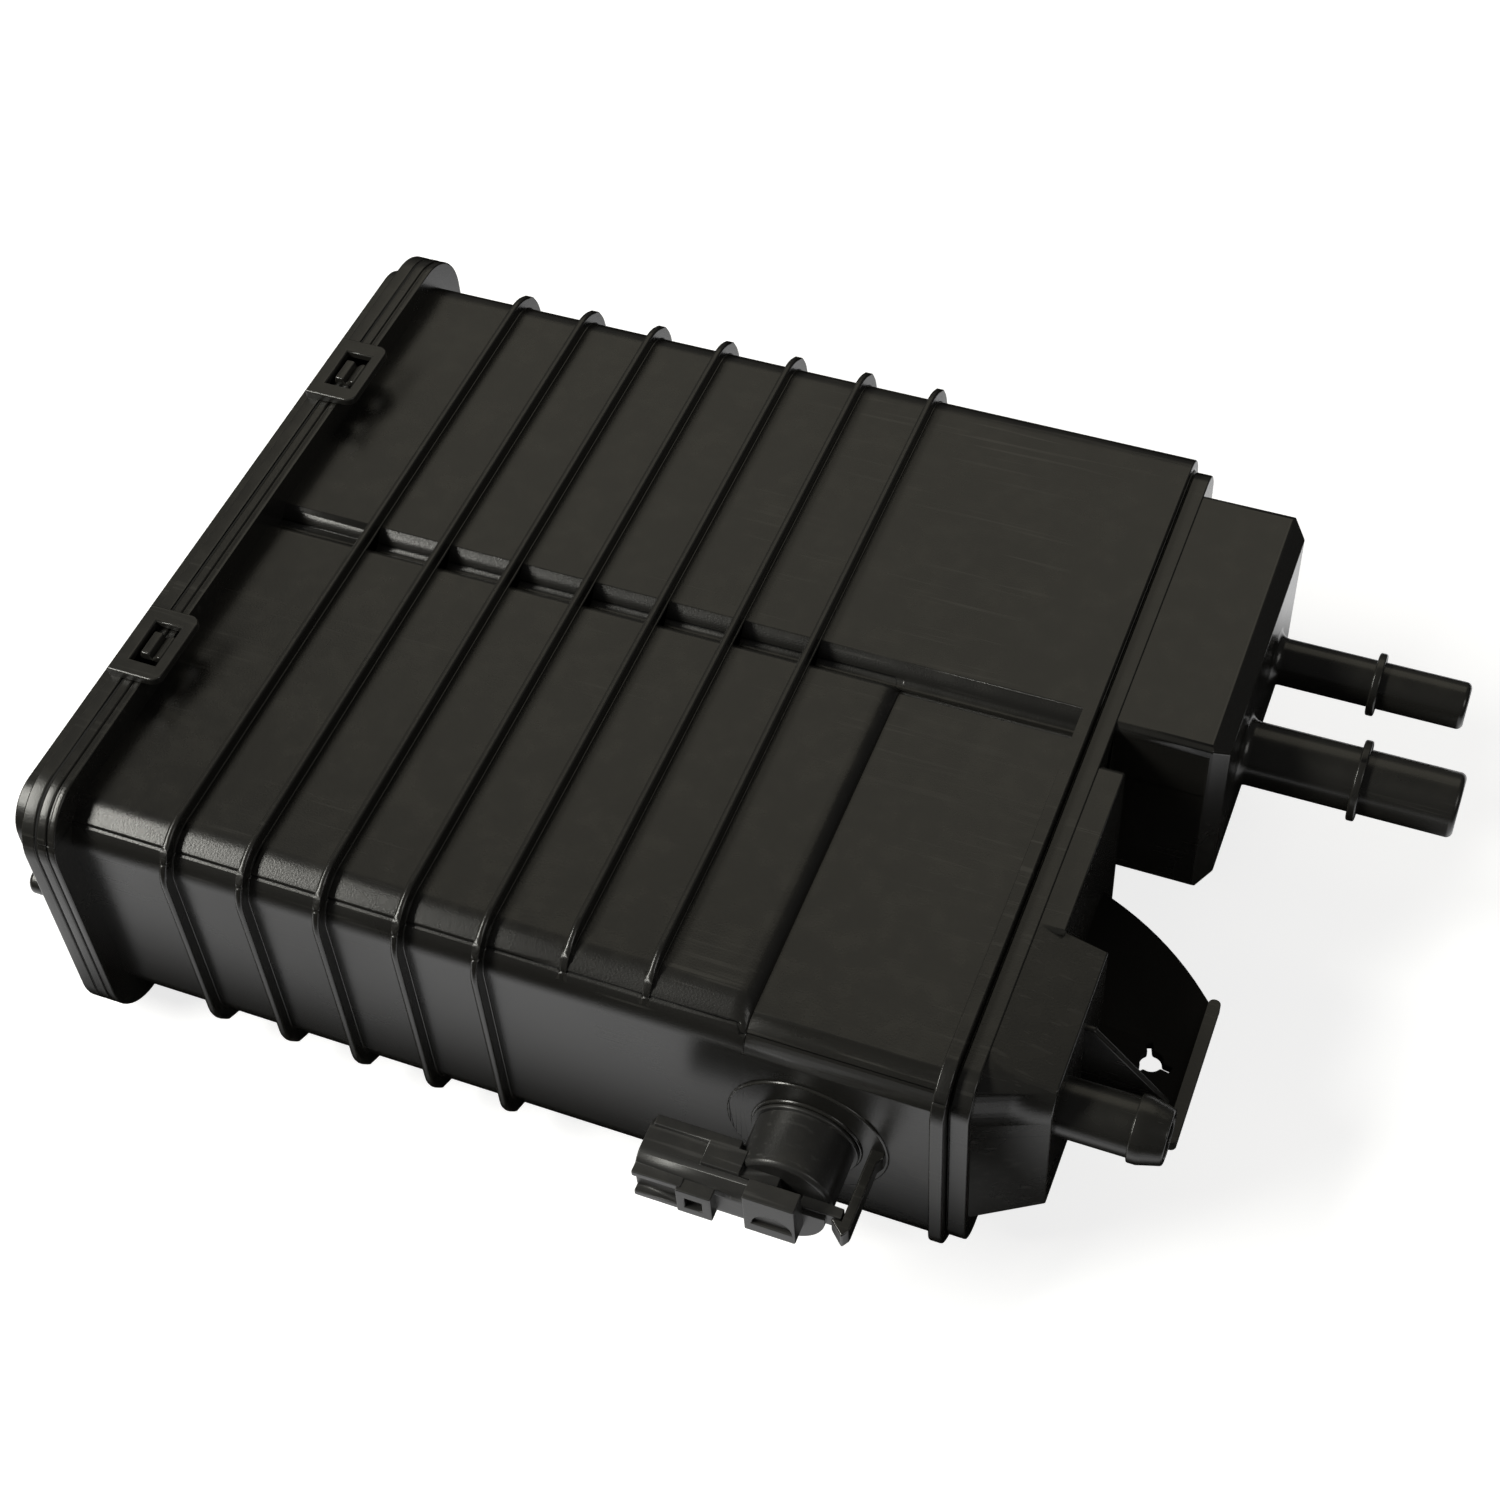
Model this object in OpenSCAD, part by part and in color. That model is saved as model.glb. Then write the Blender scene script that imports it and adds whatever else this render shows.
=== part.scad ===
// Charcoal canister for fuel vapour: ribbed two-chamber housing, latched end cover,
// welded port cover with hose spigots, and a solenoid vent valve on the side wall.
// Millimetres, +Z up. The origin is the middle of the footprint at the lowest point.
// All modules are drawn in the housing frame: X runs from the face of the end-cover
// flange to the ports, Y across the width, Z = 0 at half height.

/* [Housing] */
// Length of the moulded body between its two flange faces
body_len = 216.2; // [160:0.1:300]
// Width across the plain side panels
body_w = 198.2; // [160:0.1:260]
// How much wider the spigot-side half is than the connector-side half
far_extra = 2.4; // [0:0.1:6]
// Height across the plain top and bottom panels
body_h = 68.8; // [56:0.1:110]
// Wall thickness of the housing and both covers
wall = 2.5; // [1.8:0.1:3.5]
// Rounding radius of the long outer edges
edge_r = 10; // [5:0.1:16]
// Thickness of the wall that divides the two chambers
divider_t = 2.4; // [1.8:0.1:4]

/* [Ribs] */
// Number of stiffening ribs around the body
rib_count = 7; // [3:1:7]
// Number of ribs that also run down the connector side
side_rib_count = 5; // [1:1:7]
// Distance from the end-cover flange face to the first rib
rib_first = 30.5; // [15:0.1:40]
// Thickness of a rib
rib_t = 1.8; // [1.5:0.1:4]
// Height of a rib above the panels
rib_h = 3.2; // [1.5:0.1:5]
// Width of the rounded foot on each side of a rib
rib_foot = 0.3; // [0.3:0.1:1.2]
// How deep a short rib ends inside the connector-side wall
rib_runout = 0.4; // [0.2:0.1:1.2]

/* [Groove between the chambers] */
// Offset of the groove floor from the middle of the body
groove_y = 4.4; // [-6:0.1:8]
// Radius of the rounded slope on the spigot side
groove_r_far = 6.5; // [4:0.1:9]
// Angle at which that slope starts at the panel
groove_start = 25; // [5:1:35]
// Steepest angle of that slope
groove_slope = 62; // [58:1:68]
// Radius of the groove floor
groove_r_floor = 2; // [1.6:0.1:2.4]
// Rounding of the groove edge on the connector side
groove_r_near = 3; // [2:0.1:4]

/* [Stepped end] */
// Distance from the port flange face back to the foot of the step
step_back = 45.4; // [44:0.1:60]
// Distance from the last rib to the step
step_gap = 23.3; // [12:0.1:30]
// Depth of the step on the top
step_depth = 2.8; // [1:0.1:4.5]

/* [End-cover flange and latches] */
// How far the end-cover flange stands beyond the rib crests
flange_out = 3.3; // [2:0.1:6]
// Thickness of the body flange at the end cover
flange_t = 4.8; // [3:0.1:7]
// Distance of the fine line around that flange from its face
line_x = 2.5; // [1:0.1:2.5]
// Width and depth of the fine line
line_w = 0.5; // [0.3:0.1:0.8]
// Thickness of the end cover's flange
cover_edge_t = 3.5; // [2:0.1:6]
// Corner radius of the end-cover flange
flange_r = 15; // [8:0.1:20]
// Thickness of the gasket between the flanges
gasket_t = 0.5; // [0.4:0.1:2]
// How far the gasket stays back from the flange edge
gasket_inset = 0.3; // [0.2:0.1:2.5]
// Height of the end cover's raised face above its flange
cover_rise = 5.2; // [3:0.1:10]
// How far the raised face is set in from the flange edge
cover_inset = 5; // [3:0.1:8]
// Distance from the middle of the body to a latch
latch_y = 50; // [30:0.1:75]
// Width of a latch loop
latch_w = 21.4; // [16:0.1:30]
// Width of the bar at the end of a latch loop
latch_bar = 3; // [2:0.1:4]
// Width of the two side bars of a latch loop
latch_side = 4.4; // [2:0.1:5]
// Thickness of a latch loop
latch_t = 2.3; // [1.5:0.1:3.5]
// How far a latch loop reaches past the body flange
latch_reach = 4.9; // [4:0.1:7]
// Clearance between a loop and the flange and wedge it snaps over
latch_gap = 0.2; // [0.1:0.05:0.5]
// Width of the wedge inside a loop
wedge_w = 7.2; // [5:0.1:7.5]
// Diameter of the locating peg on the end cover
peg_d = 7; // [5:0.1:9]
// Length of the locating peg
peg_len = 6.3; // [3:0.1:12]
// Distance of the peg from the edge of the raised face
peg_edge = 5; // [4.8:0.1:20]

/* [Port flange and weld] */
// Thickness of the body flange at the port cover
port_flange_t = 3.2; // [2:0.1:6]
// How far the port flange stands out beyond the connector-side panel
port_flange_out = 2.4; // [1:0.1:5]
// Corner radius of the port flange
port_flange_r = 11; // [5:0.1:16]
// Width of the weld seam between body and port cover
seam_t = 0.4; // [0.4:0.1:2]
// Thickness of the port cover's flange
cover_flange_t = 4.4; // [2.5:0.1:6]
// How far the cover flange is set in from the body flange
cover_flange_in = 2.5; // [1:0.1:4]
// How far the weld seam is set in from the cover flange edge
seam_in = 0.3; // [0.2:0.1:2.5]

/* [Port box] */
// Depth of the port box in front of the cover flange
box_depth = 26.5; // [15:0.1:40]
// Distance from the middle of the body to the near side of the box
box_side = 7.8; // [5:0.1:20]
// Width of the box
box_w = 80.2; // [60:0.1:86]
// How far the box stays below the top edge of the cover flange
box_drop = 0.3; // [0.2:0.1:8]
// How far the box stays above the bottom edge of the cover flange
box_lift = 10.7; // [2:0.1:14]
// Chamfer around the front face of the box
box_chamfer = 4; // [1:0.1:7]
// Rounding of the long edges of the box
box_edge = 2.4; // [1:0.1:5]

/* [Hose spigots] */
// Outer diameter of the small spigot
spigot_a_d = 11.8; // [9:0.01:14]
// Outer diameter of the large spigot
spigot_b_d = 15.8; // [12:0.01:18]
// Bore of the small spigot
spigot_a_bore = 8.4; // [4:0.1:8.6]
// Bore of the large spigot
spigot_b_bore = 12.2; // [4:0.1:12.4]
// Distance between the two spigots
spigot_pitch = 30.9; // [24:0.1:40]
// Length of the small spigot from the box face
spigot_a_len = 47.5; // [36:0.1:60]
// Length of the large spigot from the box face
spigot_b_len = 51.8; // [36:0.1:60]
// Free length of the small spigot beyond its collar
spigot_a_free = 21.1; // [15:0.1:26]
// Free length of the large spigot beyond its collar
spigot_b_free = 22.6; // [15:0.1:26]
// Thickness of the collars
collar_t = 2; // [1.5:0.1:4]
// How far a collar stands out from its spigot
collar_rise = 2; // [1:0.1:4]
// Rounding of the spigot tips
tip_r = 1.5; // [0.4:0.1:1.5]
// Radius of the hollow rounding at the root of a spigot
root_flare = 2.6; // [1:0.1:4]

/* [Port dome and hose pod] */
// Height of the shallow dome above the cover flange
dome_rise = 5.8; // [3.2:0.1:8]
// Distance from the middle of the body to the dome's inner side
dome_side = 3; // [2:0.1:20]
// How far the dome stays below the top edge of the cover flange
dome_drop = 0.3; // [0.2:0.1:6]
// Height of the pod above the cover flange
pod_rise = 15.6; // [9:0.1:25]
// How far the pod's root is set in from the edge of the cover flange
pod_in = 2; // [1.5:0.1:8]
// Width of the pod at its root
pod_w = 47.7; // [42:0.1:60]
// How far the pod's outer side leans in towards its face
pod_outer_draft = 6.4; // [1:0.1:9]
// How far the pod's inner side leans in towards its face
pod_inner_draft = 0.8; // [0.5:0.1:5]
// How far the pod's top slopes down towards its face
pod_top_drop = 4; // [0.5:0.1:8]
// How far the pod's bottom lies below half height at its root
pod_low = 19; // [12:0.1:28]
// How far the pod's bottom slopes up towards its face
pod_bottom_lift = 4.8; // [1:0.1:8]
// Rounding of the pod's outer top edge
pod_r = 12; // [6:0.1:14]
// Diameter of the hose nipple
nipple_d = 13.4; // [10:0.1:15]
// Bore of the hose nipple
nipple_bore = 9.8; // [6:0.1:10]
// Length of the hose nipple
nipple_len = 23.4; // [16:0.1:36]
// Length of the barb at the nipple's tip
barb_len = 7.6; // [4:0.1:10]
// How far the barb stands out
barb_rise = 0.9; // [0.3:0.1:1.5]
// Length of the barb's crest
barb_flat = 2.2; // [1:0.1:3]
// How far the tip of the barb narrows below the nipple's diameter
barb_tip = 0.5; // [0.2:0.1:1]
// Height of the nipple above half height
nipple_z = 13.6; // [8:0.1:15]
// Gap between the nipple and the outer edge of the pod's face
nipple_edge = 2; // [1:0.1:8]

/* [Bracket shelf] */
// Thickness of the bracket shelf
shelf_t = 2.4; // [1.5:0.1:4]
// Top of the shelf below half height
shelf_drop = 0.4; // [0:0.1:3]
// How far the shelf reaches out from the dome
shelf_reach = 33.8; // [28:0.1:45]
// Radius of the shelf's curved edge
shelf_r = 77.1; // [70:0.1:90]
// Distance from the dome's face back to the middle of that curve
shelf_curve_in = 27.4; // [15:0.1:40]
// Distance of the curved edge's root from the dome's inner side
shelf_root = 11.8; // [3:0.1:15]
// Distance from the edge of the cover flange to the shelf's outer side
shelf_side_in = 21.5; // [15:0.1:24]
// Width of the bead along the shelf's end
bead_w = 2.8; // [1.5:0.1:4]
// How far the bead stands above the shelf
bead_h = 0.8; // [0.3:0.1:2]
// How far the bead starts from the shelf's outer side
bead_in = 2.4; // [1.5:0.1:5]
// How far the bead runs past the clip hole
bead_past = 20.1; // [12:0.1:24]
// Diameter of the clip hole
clip_d = 5; // [4:0.1:7]
// Distance of the clip hole from the shelf's end
clip_in = 10.8; // [9:0.1:15]
// Distance of the clip hole from the shelf's outer side
clip_side = 21.4; // [19:0.1:24]
// Width of the three relief slots at the clip hole
slot_w = 1.1; // [0.8:0.1:1.3]
// Reach of the relief slots from the middle of the hole
slot_reach = 4.6; // [4:0.1:5.5]
// Thickness of the gusset between pod and shelf
gusset_t = 1.6; // [1.2:0.1:4]
// Distance of the gusset from the shelf's outer side
gusset_side = 12; // [10.5:0.1:14]
// Height of the gusset above the shelf
gusset_h = 21; // [10:0.1:24]
// How far the gusset stays back from the shelf's end
gusset_back = 4; // [3.2:0.1:10]
// Height of the gusset at its tip
gusset_tip = 0.8; // [0.5:0.1:3]
// Radius of the gusset's hollow edge
gusset_curve_r = 37; // [30:0.1:60]
// Distance of the middle of that hollow beyond the shelf's end
gusset_curve_x = 15; // [10:0.1:40]
// Height of the middle of that hollow above the gusset's top
gusset_curve_z = 21; // [15:0.1:40]

/* [Chamber fill] */
// Clearance of rigid inner pieces to the chamber walls
fill_gap = 0.4; // [0.2:0.05:1]
// Clearance between soft layers and their neighbours
soft_gap = 0.15; // [0.05:0.05:0.5]
// Distance from the flange face to the press plates
press_x = 13; // [9:0.1:25]
// Thickness of the press plates and grids
plate_t = 3; // [2:0.1:5]
// Thickness of the filter pads
pad_t = 6; // [3:0.1:10]
// Diameter of the holes in the plates and grids
hole_d = 6; // [3:0.1:6.5]
// Distance between those holes
hole_pitch = 13; // [12:0.1:16]
// Wire thickness of the bed springs
bed_wire = 1.8; // [1:0.1:2.5]
// Mean diameter of the bed springs
bed_spring_d = 24; // [16:0.1:30]
// Working coils of the bed springs
bed_turns = 4; // [2:1:5]
// Distance between the two springs of a chamber
bed_spring_pitch = 44; // [34:0.1:50]

/* [Vent valve seat] */
// Distance of the valve axis from the port flange face
valve_back = 31.7; // [28:0.1:34]
// Radius of the raised ring on the housing
boss_r = 13.1; // [12.6:0.1:15]
// Height of the raised ring
boss_h = 1.2; // [0.8:0.1:3]
// Radius of the flat pad around the raised ring
pad_r = 19; // [15:0.1:21]
// Height of that pad above the side wall
pad_h = 0.6; // [0.2:0.1:0.7]
// Radius of the valve's nose inside the housing
nose_r = 9.2; // [9:0.05:9.6]
// Clearance between the nose and its seat
nose_gap = 0.2; // [0.1:0.05:0.4]
// Reach of the nose behind the housing wall
nose_reach = 12; // [11:0.1:16]
// Radial section of the sealing ring
ring_d = 1.6; // [1.2:0.05:2]
// Radius of the vent opening at the end of the nose
vent_r = 3.5; // [2.5:0.1:4]

/* [Vent valve body] */
// Radius of the valve's flange
valve_flange_r = 12.5; // [12:0.1:15]
// Thickness of the valve's flange
valve_flange_t = 1; // [0.8:0.1:4]
// Radius of the valve's cylinder
valve_r = 11.5; // [11.3:0.1:14]
// Reach of the cylinder from the raised ring
valve_len = 14.7; // [14:0.1:24]
// Radius of the half-round step on the cylinder's end
stub_r = 11.1; // [8:0.1:11.2]
// Height of that step
stub_h = 3.5; // [2.6:0.1:6]
// Top of that step above the valve axis
stub_top = 1; // [-2:0.1:4]
// Width of the end block
block_w = 11.8; // [8:0.1:13]
// Height of the end block along Z
block_h = 13.4; // [9:0.1:15]
// Middle of the end block above the valve axis
block_up = 1.6; // [-2:0.1:3]
// How far the end block stands out from the cylinder
block_out = 8; // [7:0.1:10]
// Wall thickness of the valve body
valve_wall = 1.5; // [1.2:0.1:1.7]
// Distance from the valve axis to the mouth of the plug socket
socket_reach = 31.5; // [29:0.1:45]
// Outer size of the plug socket
socket_w = 13.4; // [12.6:0.1:16]
// Corner radius of the plug socket
socket_r = 4.2; // [2:0.1:6]
// Wall of the plug socket
socket_wall = 1.3; // [1:0.1:1.8]
// Depth of the plug socket
socket_depth = 14.5; // [12:0.1:16]
// Thickness of the rails along the socket
rail_t = 1.8; // [1:0.1:3]
// How far the rails stand out from the socket
rail_h = 1.7; // [0.8:0.1:2.4]
// Height of the upper front rail above the socket's middle
rail_up = 3.9; // [2.5:0.1:4.4]
// Height of the lower front rail below the socket's middle
rail_low = 4.3; // [2.5:0.1:4.6]
// Width of the ridge along the top of the socket
ridge_w = 2.6; // [1.5:0.1:4]
// How far that ridge stands out
ridge_h = 1.1; // [0.5:0.1:2]
// Length of the step where the socket meets the cylinder
heel_len = 6; // [3:0.1:8]
// Distance from the valve axis to the outer end of the latch catch
catch_reach = 21; // [18:0.1:24]
// Width of the latch catch on the socket
catch_w = 9; // [5:0.1:10]
// Length of the latch catch on the socket
catch_len = 8.2; // [5:0.1:12]
// Height of the latch catch on the socket
catch_h = 2.5; // [1:0.1:4]
// Length of the lock tab beyond the end block
tab_len = 8.6; // [4:0.1:12]
// Thickness of the lock tab
tab_t = 2.6; // [1.5:0.1:4]
// Width of the lock tab
tab_w = 4.4; // [3:0.1:9]
// Thickness of the housing's snap arm
arm_t = 2.4; // [1.5:0.1:4]
// Width of the snap arm
arm_w = 5; // [3:0.1:12]
// Length of the hook at the arm's end
hook_len = 3.8; // [2:0.1:6]
// Reach of the hook over the lock tab
hook_reach = 2.2; // [1:0.1:3]
// Clearance between the tab, the arm and its hook
arm_gap = 0.3; // [0.1:0.05:0.6]

/* [Solenoid] */
// Travel of the plunger from open to closed
stroke = 1.6; // [1:0.1:2.2]
// Radius of the plunger
plunger_r = 3.4; // [2.5:0.05:3.6]
// Radial clearance of the plunger in the bobbin
plunger_gap = 0.15; // [0.06:0.01:0.3]
// Length of the plunger's thick part
plunger_len = 4.6; // [3:0.1:4.8]
// Radius of the plunger's stem
stem_r = 1.5; // [1:0.05:2]
// Wall of the bobbin
bobbin_wall = 0.9; // [0.6:0.05:1.2]
// Wall of the steel yoke
yoke_t = 0.8; // [0.5:0.05:1]
// Assembly clearance between the solenoid's pieces
coil_gap = 0.06; // [0.02:0.01:0.1]
// Height of the pole tube inside the bobbin
pole_h = 3.1; // [2:0.1:3.2]
// Radius of the seal plate on the stem
seal_plate_r = 6.2; // [5:0.1:6.4]
// Thickness of the seal plate
seal_plate_t = 1.4; // [1:0.1:2]
// Radius of the rubber seal
seal_r = 4.6; // [4.2:0.1:4.7]
// Thickness of the rubber seal
seal_t = 1.6; // [1:0.1:2]
// Height of the seat lip around the vent opening
lip_h = 0.6; // [0.3:0.1:1]
// Wire thickness of the return spring
return_wire = 0.6; // [0.3:0.05:0.8]
// Working coils of the return spring
return_turns = 2; // [1:1:3]
// Width of a connector blade
blade_w = 1.8; // [1:0.1:2.4]
// Thickness of a connector blade
blade_t = 0.8; // [0.5:0.05:1]
// Distance between the two blades
blade_pitch = 5; // [4:0.1:6]
// Free length of the blades in the socket
blade_free = 8; // [5:0.1:10]

/* [Hidden] */
$fn = 64;
eps = 0.01;

// Housing outline
half_w = body_w / 2;
half_h = body_h / 2;
far_w = half_w + far_extra;
crest_hh = half_h + rib_h;
step_x = body_len - step_back;
rib_pitch = (step_x - step_gap - rib_first) / (rib_count - 1);
ledge_x = step_x - wall;

// Groove outline: a rounded slope, a round floor and a rounded near edge that run into each other
groove_c = groove_r_far + groove_r_floor;
groove_e = groove_r_near + groove_r_floor;
groove_depth = groove_r_far * cos(groove_start) - groove_c * cos(groove_slope) + groove_r_floor;
groove_floor = half_h - groove_depth + groove_r_floor;
groove_far = groove_y + groove_c * sin(groove_slope) - groove_r_far * sin(groove_start);
function groove_near(drop) =
    groove_y - sqrt(pow(groove_e, 2) - pow(groove_depth - drop - groove_e, 2));

// End-cover stack, running away from the body in -X
flange_hw = half_w + rib_h + flange_out;
flange_far = far_w + rib_h + flange_out;
flange_hh = crest_hh + flange_out;
cover_x1 = -gasket_t;
cover_x0 = cover_x1 - cover_edge_t;
face_x = cover_x0 - cover_rise;
seat_x = face_x + wall;
loop_z0 = flange_hh + latch_gap;
loop_z1 = loop_z0 + latch_t;
loop_x1 = flange_t + latch_reach;
bar_x0 = loop_x1 - latch_bar;
peg_y = -(flange_hw - cover_inset - peg_edge);

// Port-cover stack, running away from the body in +X
port_hw = half_w + port_flange_out;
port_hh = half_h;
seam_x1 = body_len + seam_t;
cover_hw = port_hw - cover_flange_in;
cover_far = far_w - cover_flange_in;
cover_hh = port_hh - cover_flange_in;
cover_r = port_flange_r - cover_flange_in;
deck_x = seam_x1 + cover_flange_t;
box_x1 = deck_x + box_depth;
box_y1 = box_side + box_w;
box_top = cover_hh - box_drop;
box_z0 = -cover_hh + box_lift;
spigot_z = (box_top + box_z0) / 2;
spigot_mid = box_side + box_w / 2;
spigot_a_y = spigot_mid + spigot_pitch / 2;
spigot_b_y = spigot_mid - spigot_pitch / 2;
dome_x1 = deck_x + dome_rise;
dome_y1 = -dome_side;
dome_hh = cover_hh - dome_drop;
pod_x1 = deck_x + pod_rise;
pod_y0 = -(cover_hw - pod_in);
pod_y1 = pod_y0 + pod_w;
pod_z0 = -pod_low;
dome_y0 = pod_y1 - 2;
nipple_y = pod_y0 + pod_outer_draft + nipple_edge + nipple_d / 2;
nipple_x1 = pod_x1 + nipple_len;
shelf_z1 = -shelf_drop;
shelf_z0 = shelf_z1 - shelf_t;
shelf_x1 = dome_x1 + shelf_reach;
shelf_y0 = -cover_hw + shelf_side_in;
shelf_y1 = dome_y1 - shelf_root;
shelf_cx = dome_x1 - shelf_curve_in;
shelf_cy = shelf_y1 - sqrt(shelf_r * shelf_r - shelf_curve_in * shelf_curve_in);
clip_x = shelf_x1 - clip_in;
clip_y = shelf_y0 + clip_side;
gusset_y = shelf_y0 + gusset_side;

// Chamber limits, the same for the housing and everything that lies in it
far_y0 = groove_far + wall / 2;
far_y1 = far_w - wall;
near_y0 = -(half_w - wall);
near_y1 = groove_near(0);
room_h = half_h - wall;
slim_h = room_h - groove_depth;
div_far = groove_y + divider_t / 2;
div_near = groove_y - divider_t / 2;
fill_x0 = press_x + plate_t;
near_grid_x = ledge_x - plate_t;
far_grid_x = body_len - plate_t;

// Valve axis and heights outwards from the side wall
valve_x = body_len - valve_back;
wall_y = -half_w;
bore_r = nose_r + nose_gap;
flange_z1 = boss_h + valve_flange_t;
valve_z1 = boss_h + valve_len;
room_r = valve_r - valve_wall;
room_z1 = valve_z1 - valve_wall;
block_z1 = valve_z1 + block_out;
plug_z = valve_z1;
socket_x = -socket_reach;
socket_floor = socket_x + socket_depth;
catch_x0 = -catch_reach;
catch_z1 = plug_z + socket_w / 2 + catch_h;
tab_x1 = block_w / 2 + tab_len;
tab_z1 = valve_z1 + tab_t;
arm_x0 = tab_x1 + arm_gap;
arm_z1 = tab_z1 + arm_gap + hook_len;
nose_z0 = -nose_reach;
nose_floor = nose_z0 + valve_wall;
nose_bore = nose_r - 2.4;
ring_r = bore_r - ring_d / 2;
ring_z = -0.5;

// Solenoid stack, heights outwards from the side wall
pole_z0 = flange_z1;
pole_z1 = pole_z0 + 1.2;
pole_top = pole_z1 + pole_h;
pole_r = plunger_r + plunger_gap - coil_gap;
yoke_r = room_r - coil_gap;
yoke_z1 = room_z1 - coil_gap;
yoke_in = yoke_r - yoke_t;
bobbin_z0 = pole_z1 + coil_gap;
bobbin_z1 = yoke_z1 - yoke_t - coil_gap;
bobbin_bore = plunger_r + plunger_gap;
bobbin_r = bobbin_bore + bobbin_wall;
bobbin_flange_r = yoke_in - coil_gap;
plunger_z0 = pole_top + stroke;
seat_z = nose_floor + lip_h;
seal_z0 = seat_z + stroke;
seal_z1 = seal_z0 + seal_t;
plate_z1 = seal_z1 + seal_plate_t;
return_r = seal_plate_r - return_wire / 2 - 0.2;

// Row frame: middle of the footprint at the lowest point
x_min = face_x - peg_len;
x_max = box_x1 + max(spigot_a_len, spigot_b_len);
y_min = wall_y - max(catch_z1, block_z1, arm_z1);
y_max = flange_far;
z_min = -loop_z1;
origin = [(x_min + x_max) / 2, (y_min + y_max) / 2, z_min];

// Shared shapes

// Moves from the housing frame to the row frame
module row() {
    translate(-origin) children();
}

// Extrudes a (Y, Z) outline along X
module along_x(x0, x1) {
    translate([x0, 0, 0]) rotate([90, 0, 90]) linear_extrude(height = x1 - x0) children();
}

// Extrudes an (X, Z) outline along Y
module along_y(y0, y1) {
    translate([0, y1, 0]) rotate([90, 0, 0]) linear_extrude(height = y1 - y0) children();
}

// Extrudes an (X, Y) outline along Z
module along_z(z0, z1) {
    translate([0, 0, z0]) linear_extrude(height = z1 - z0) children();
}

// Valve frame: Z runs outwards from the side wall, X as in the housing, Y upwards
module on_valve() {
    translate([valve_x, wall_y, 0]) rotate([90, 0, 0]) children();
}

// Rectangle from (u0, v0) to (u1, v1) with radii for its corners, counter-clockwise from (u0, v0)
module rounded(u0, u1, v0, v1, r) {
    polygon([
        [u0 + r[0], v0], [u1 - r[1], v0], [u1, v0 + r[1]], [u1, v1 - r[2]],
        [u1 - r[2], v1], [u0 + r[3], v1], [u0, v1 - r[3]], [u0, v0 + r[0]]
    ]);
    translate([u0 + r[0], v0 + r[0]]) circle(r[0]);
    translate([u1 - r[1], v0 + r[1]]) circle(r[1]);
    translate([u1 - r[2], v1 - r[2]]) circle(r[2]);
    translate([u0 + r[3], v1 - r[3]]) circle(r[3]);
}

// Rounded rectangle centred on the body
module centred(hw, hh, r) {
    rounded(-hw, hw, -hh, hh, [r, r, r, r]);
}

// Ring or tube along Z
module tube(r_out, r_in, z0, z1) {
    difference() {
        translate([0, 0, z0]) cylinder(r = r_out, h = z1 - z0);
        translate([0, 0, z0 - 1]) cylinder(r = r_in, h = z1 - z0 + 2);
    }
}

// Cone or cylinder along X
module rod_x(x0, x1, r0, r1) {
    translate([x0, 0, 0]) rotate([0, 90, 0]) cylinder(r1 = r0, r2 = r1, h = x1 - x0);
}

// Coil spring along Z with closed ends, from z = 0 to z = len
module coil_spring(r, wire, len, turns) {
    per_turn = 20;
    sides = 8;
    total = turns + 2;
    steps = total * per_turn;
    travel = len - wire - 2 * wire;
    function lift(t) = wire / 2
        + (t < 1 ? t * wire
            : t > total - 1 ? wire + travel + (t - total + 1) * wire
            : wire + (t - 1) / (total - 2) * travel);
    function spot(i, k) = let (
            t = i / per_turn,
            a = 360 * t,
            b = 360 * k / sides,
            q = r + wire / 2 * cos(b)
        ) [q * cos(a), q * sin(a), lift(t) + wire / 2 * sin(b)];
    points = [for (i = [0:steps]) for (k = [0:sides - 1]) spot(i, k)];
    skin = [for (i = [0:steps - 1]) for (k = [0:sides - 1])
        let (m = (k + 1) % sides)
        [i * sides + k, (i + 1) * sides + k, (i + 1) * sides + m, i * sides + m]];
    first = [for (k = [0:sides - 1]) k];
    last = [for (k = [sides - 1:-1:0]) steps * sides + k];
    polyhedron(points = points, faces = concat([first], skin, [last]));
}

// Housing

// Outline of the spigot-side half of the body, up to the groove floor
module far_half() {
    rounded(groove_y - 2, far_w, -half_h, half_h, [1, edge_r, edge_r, 1]);
}

// Outline of the connector-side half up to the groove floor, at full size or stepped down
module near_half(drop) {
    rounded(-half_w, groove_y + 1, -half_h, half_h - drop, [edge_r, 1, 1, edge_r - drop]);
}

// Points along an arc from one angle to another, without the first one
function arc(c, r, a0, a1, n) =
    [for (i = [1:n]) let (a = a0 + (a1 - a0) * i / n) c + r * [cos(a), sin(a)]];

// Outline of the groove on the top, for a near panel at full size or stepped down
module groove_cut(drop) {
    floor_c = [groove_y, groove_floor];
    far_c = floor_c + groove_c * [sin(groove_slope), -cos(groove_slope)];
    near_c = [groove_near(drop), half_h - drop - groove_r_near];
    near_a = atan2(groove_floor - near_c[1], groove_y - near_c[0]);
    polygon(concat(
        [[near_c[0], half_h + 1], [near_c[0], half_h - drop]],
        arc(near_c, groove_r_near, 90, near_a, 8),
        arc(floor_c, groove_r_floor, near_a + 180, groove_slope + 270, 10),
        arc(far_c, groove_r_far, groove_slope + 90, groove_start + 90, 8),
        [[groove_far, half_h + 1]]
    ));
}

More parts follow.
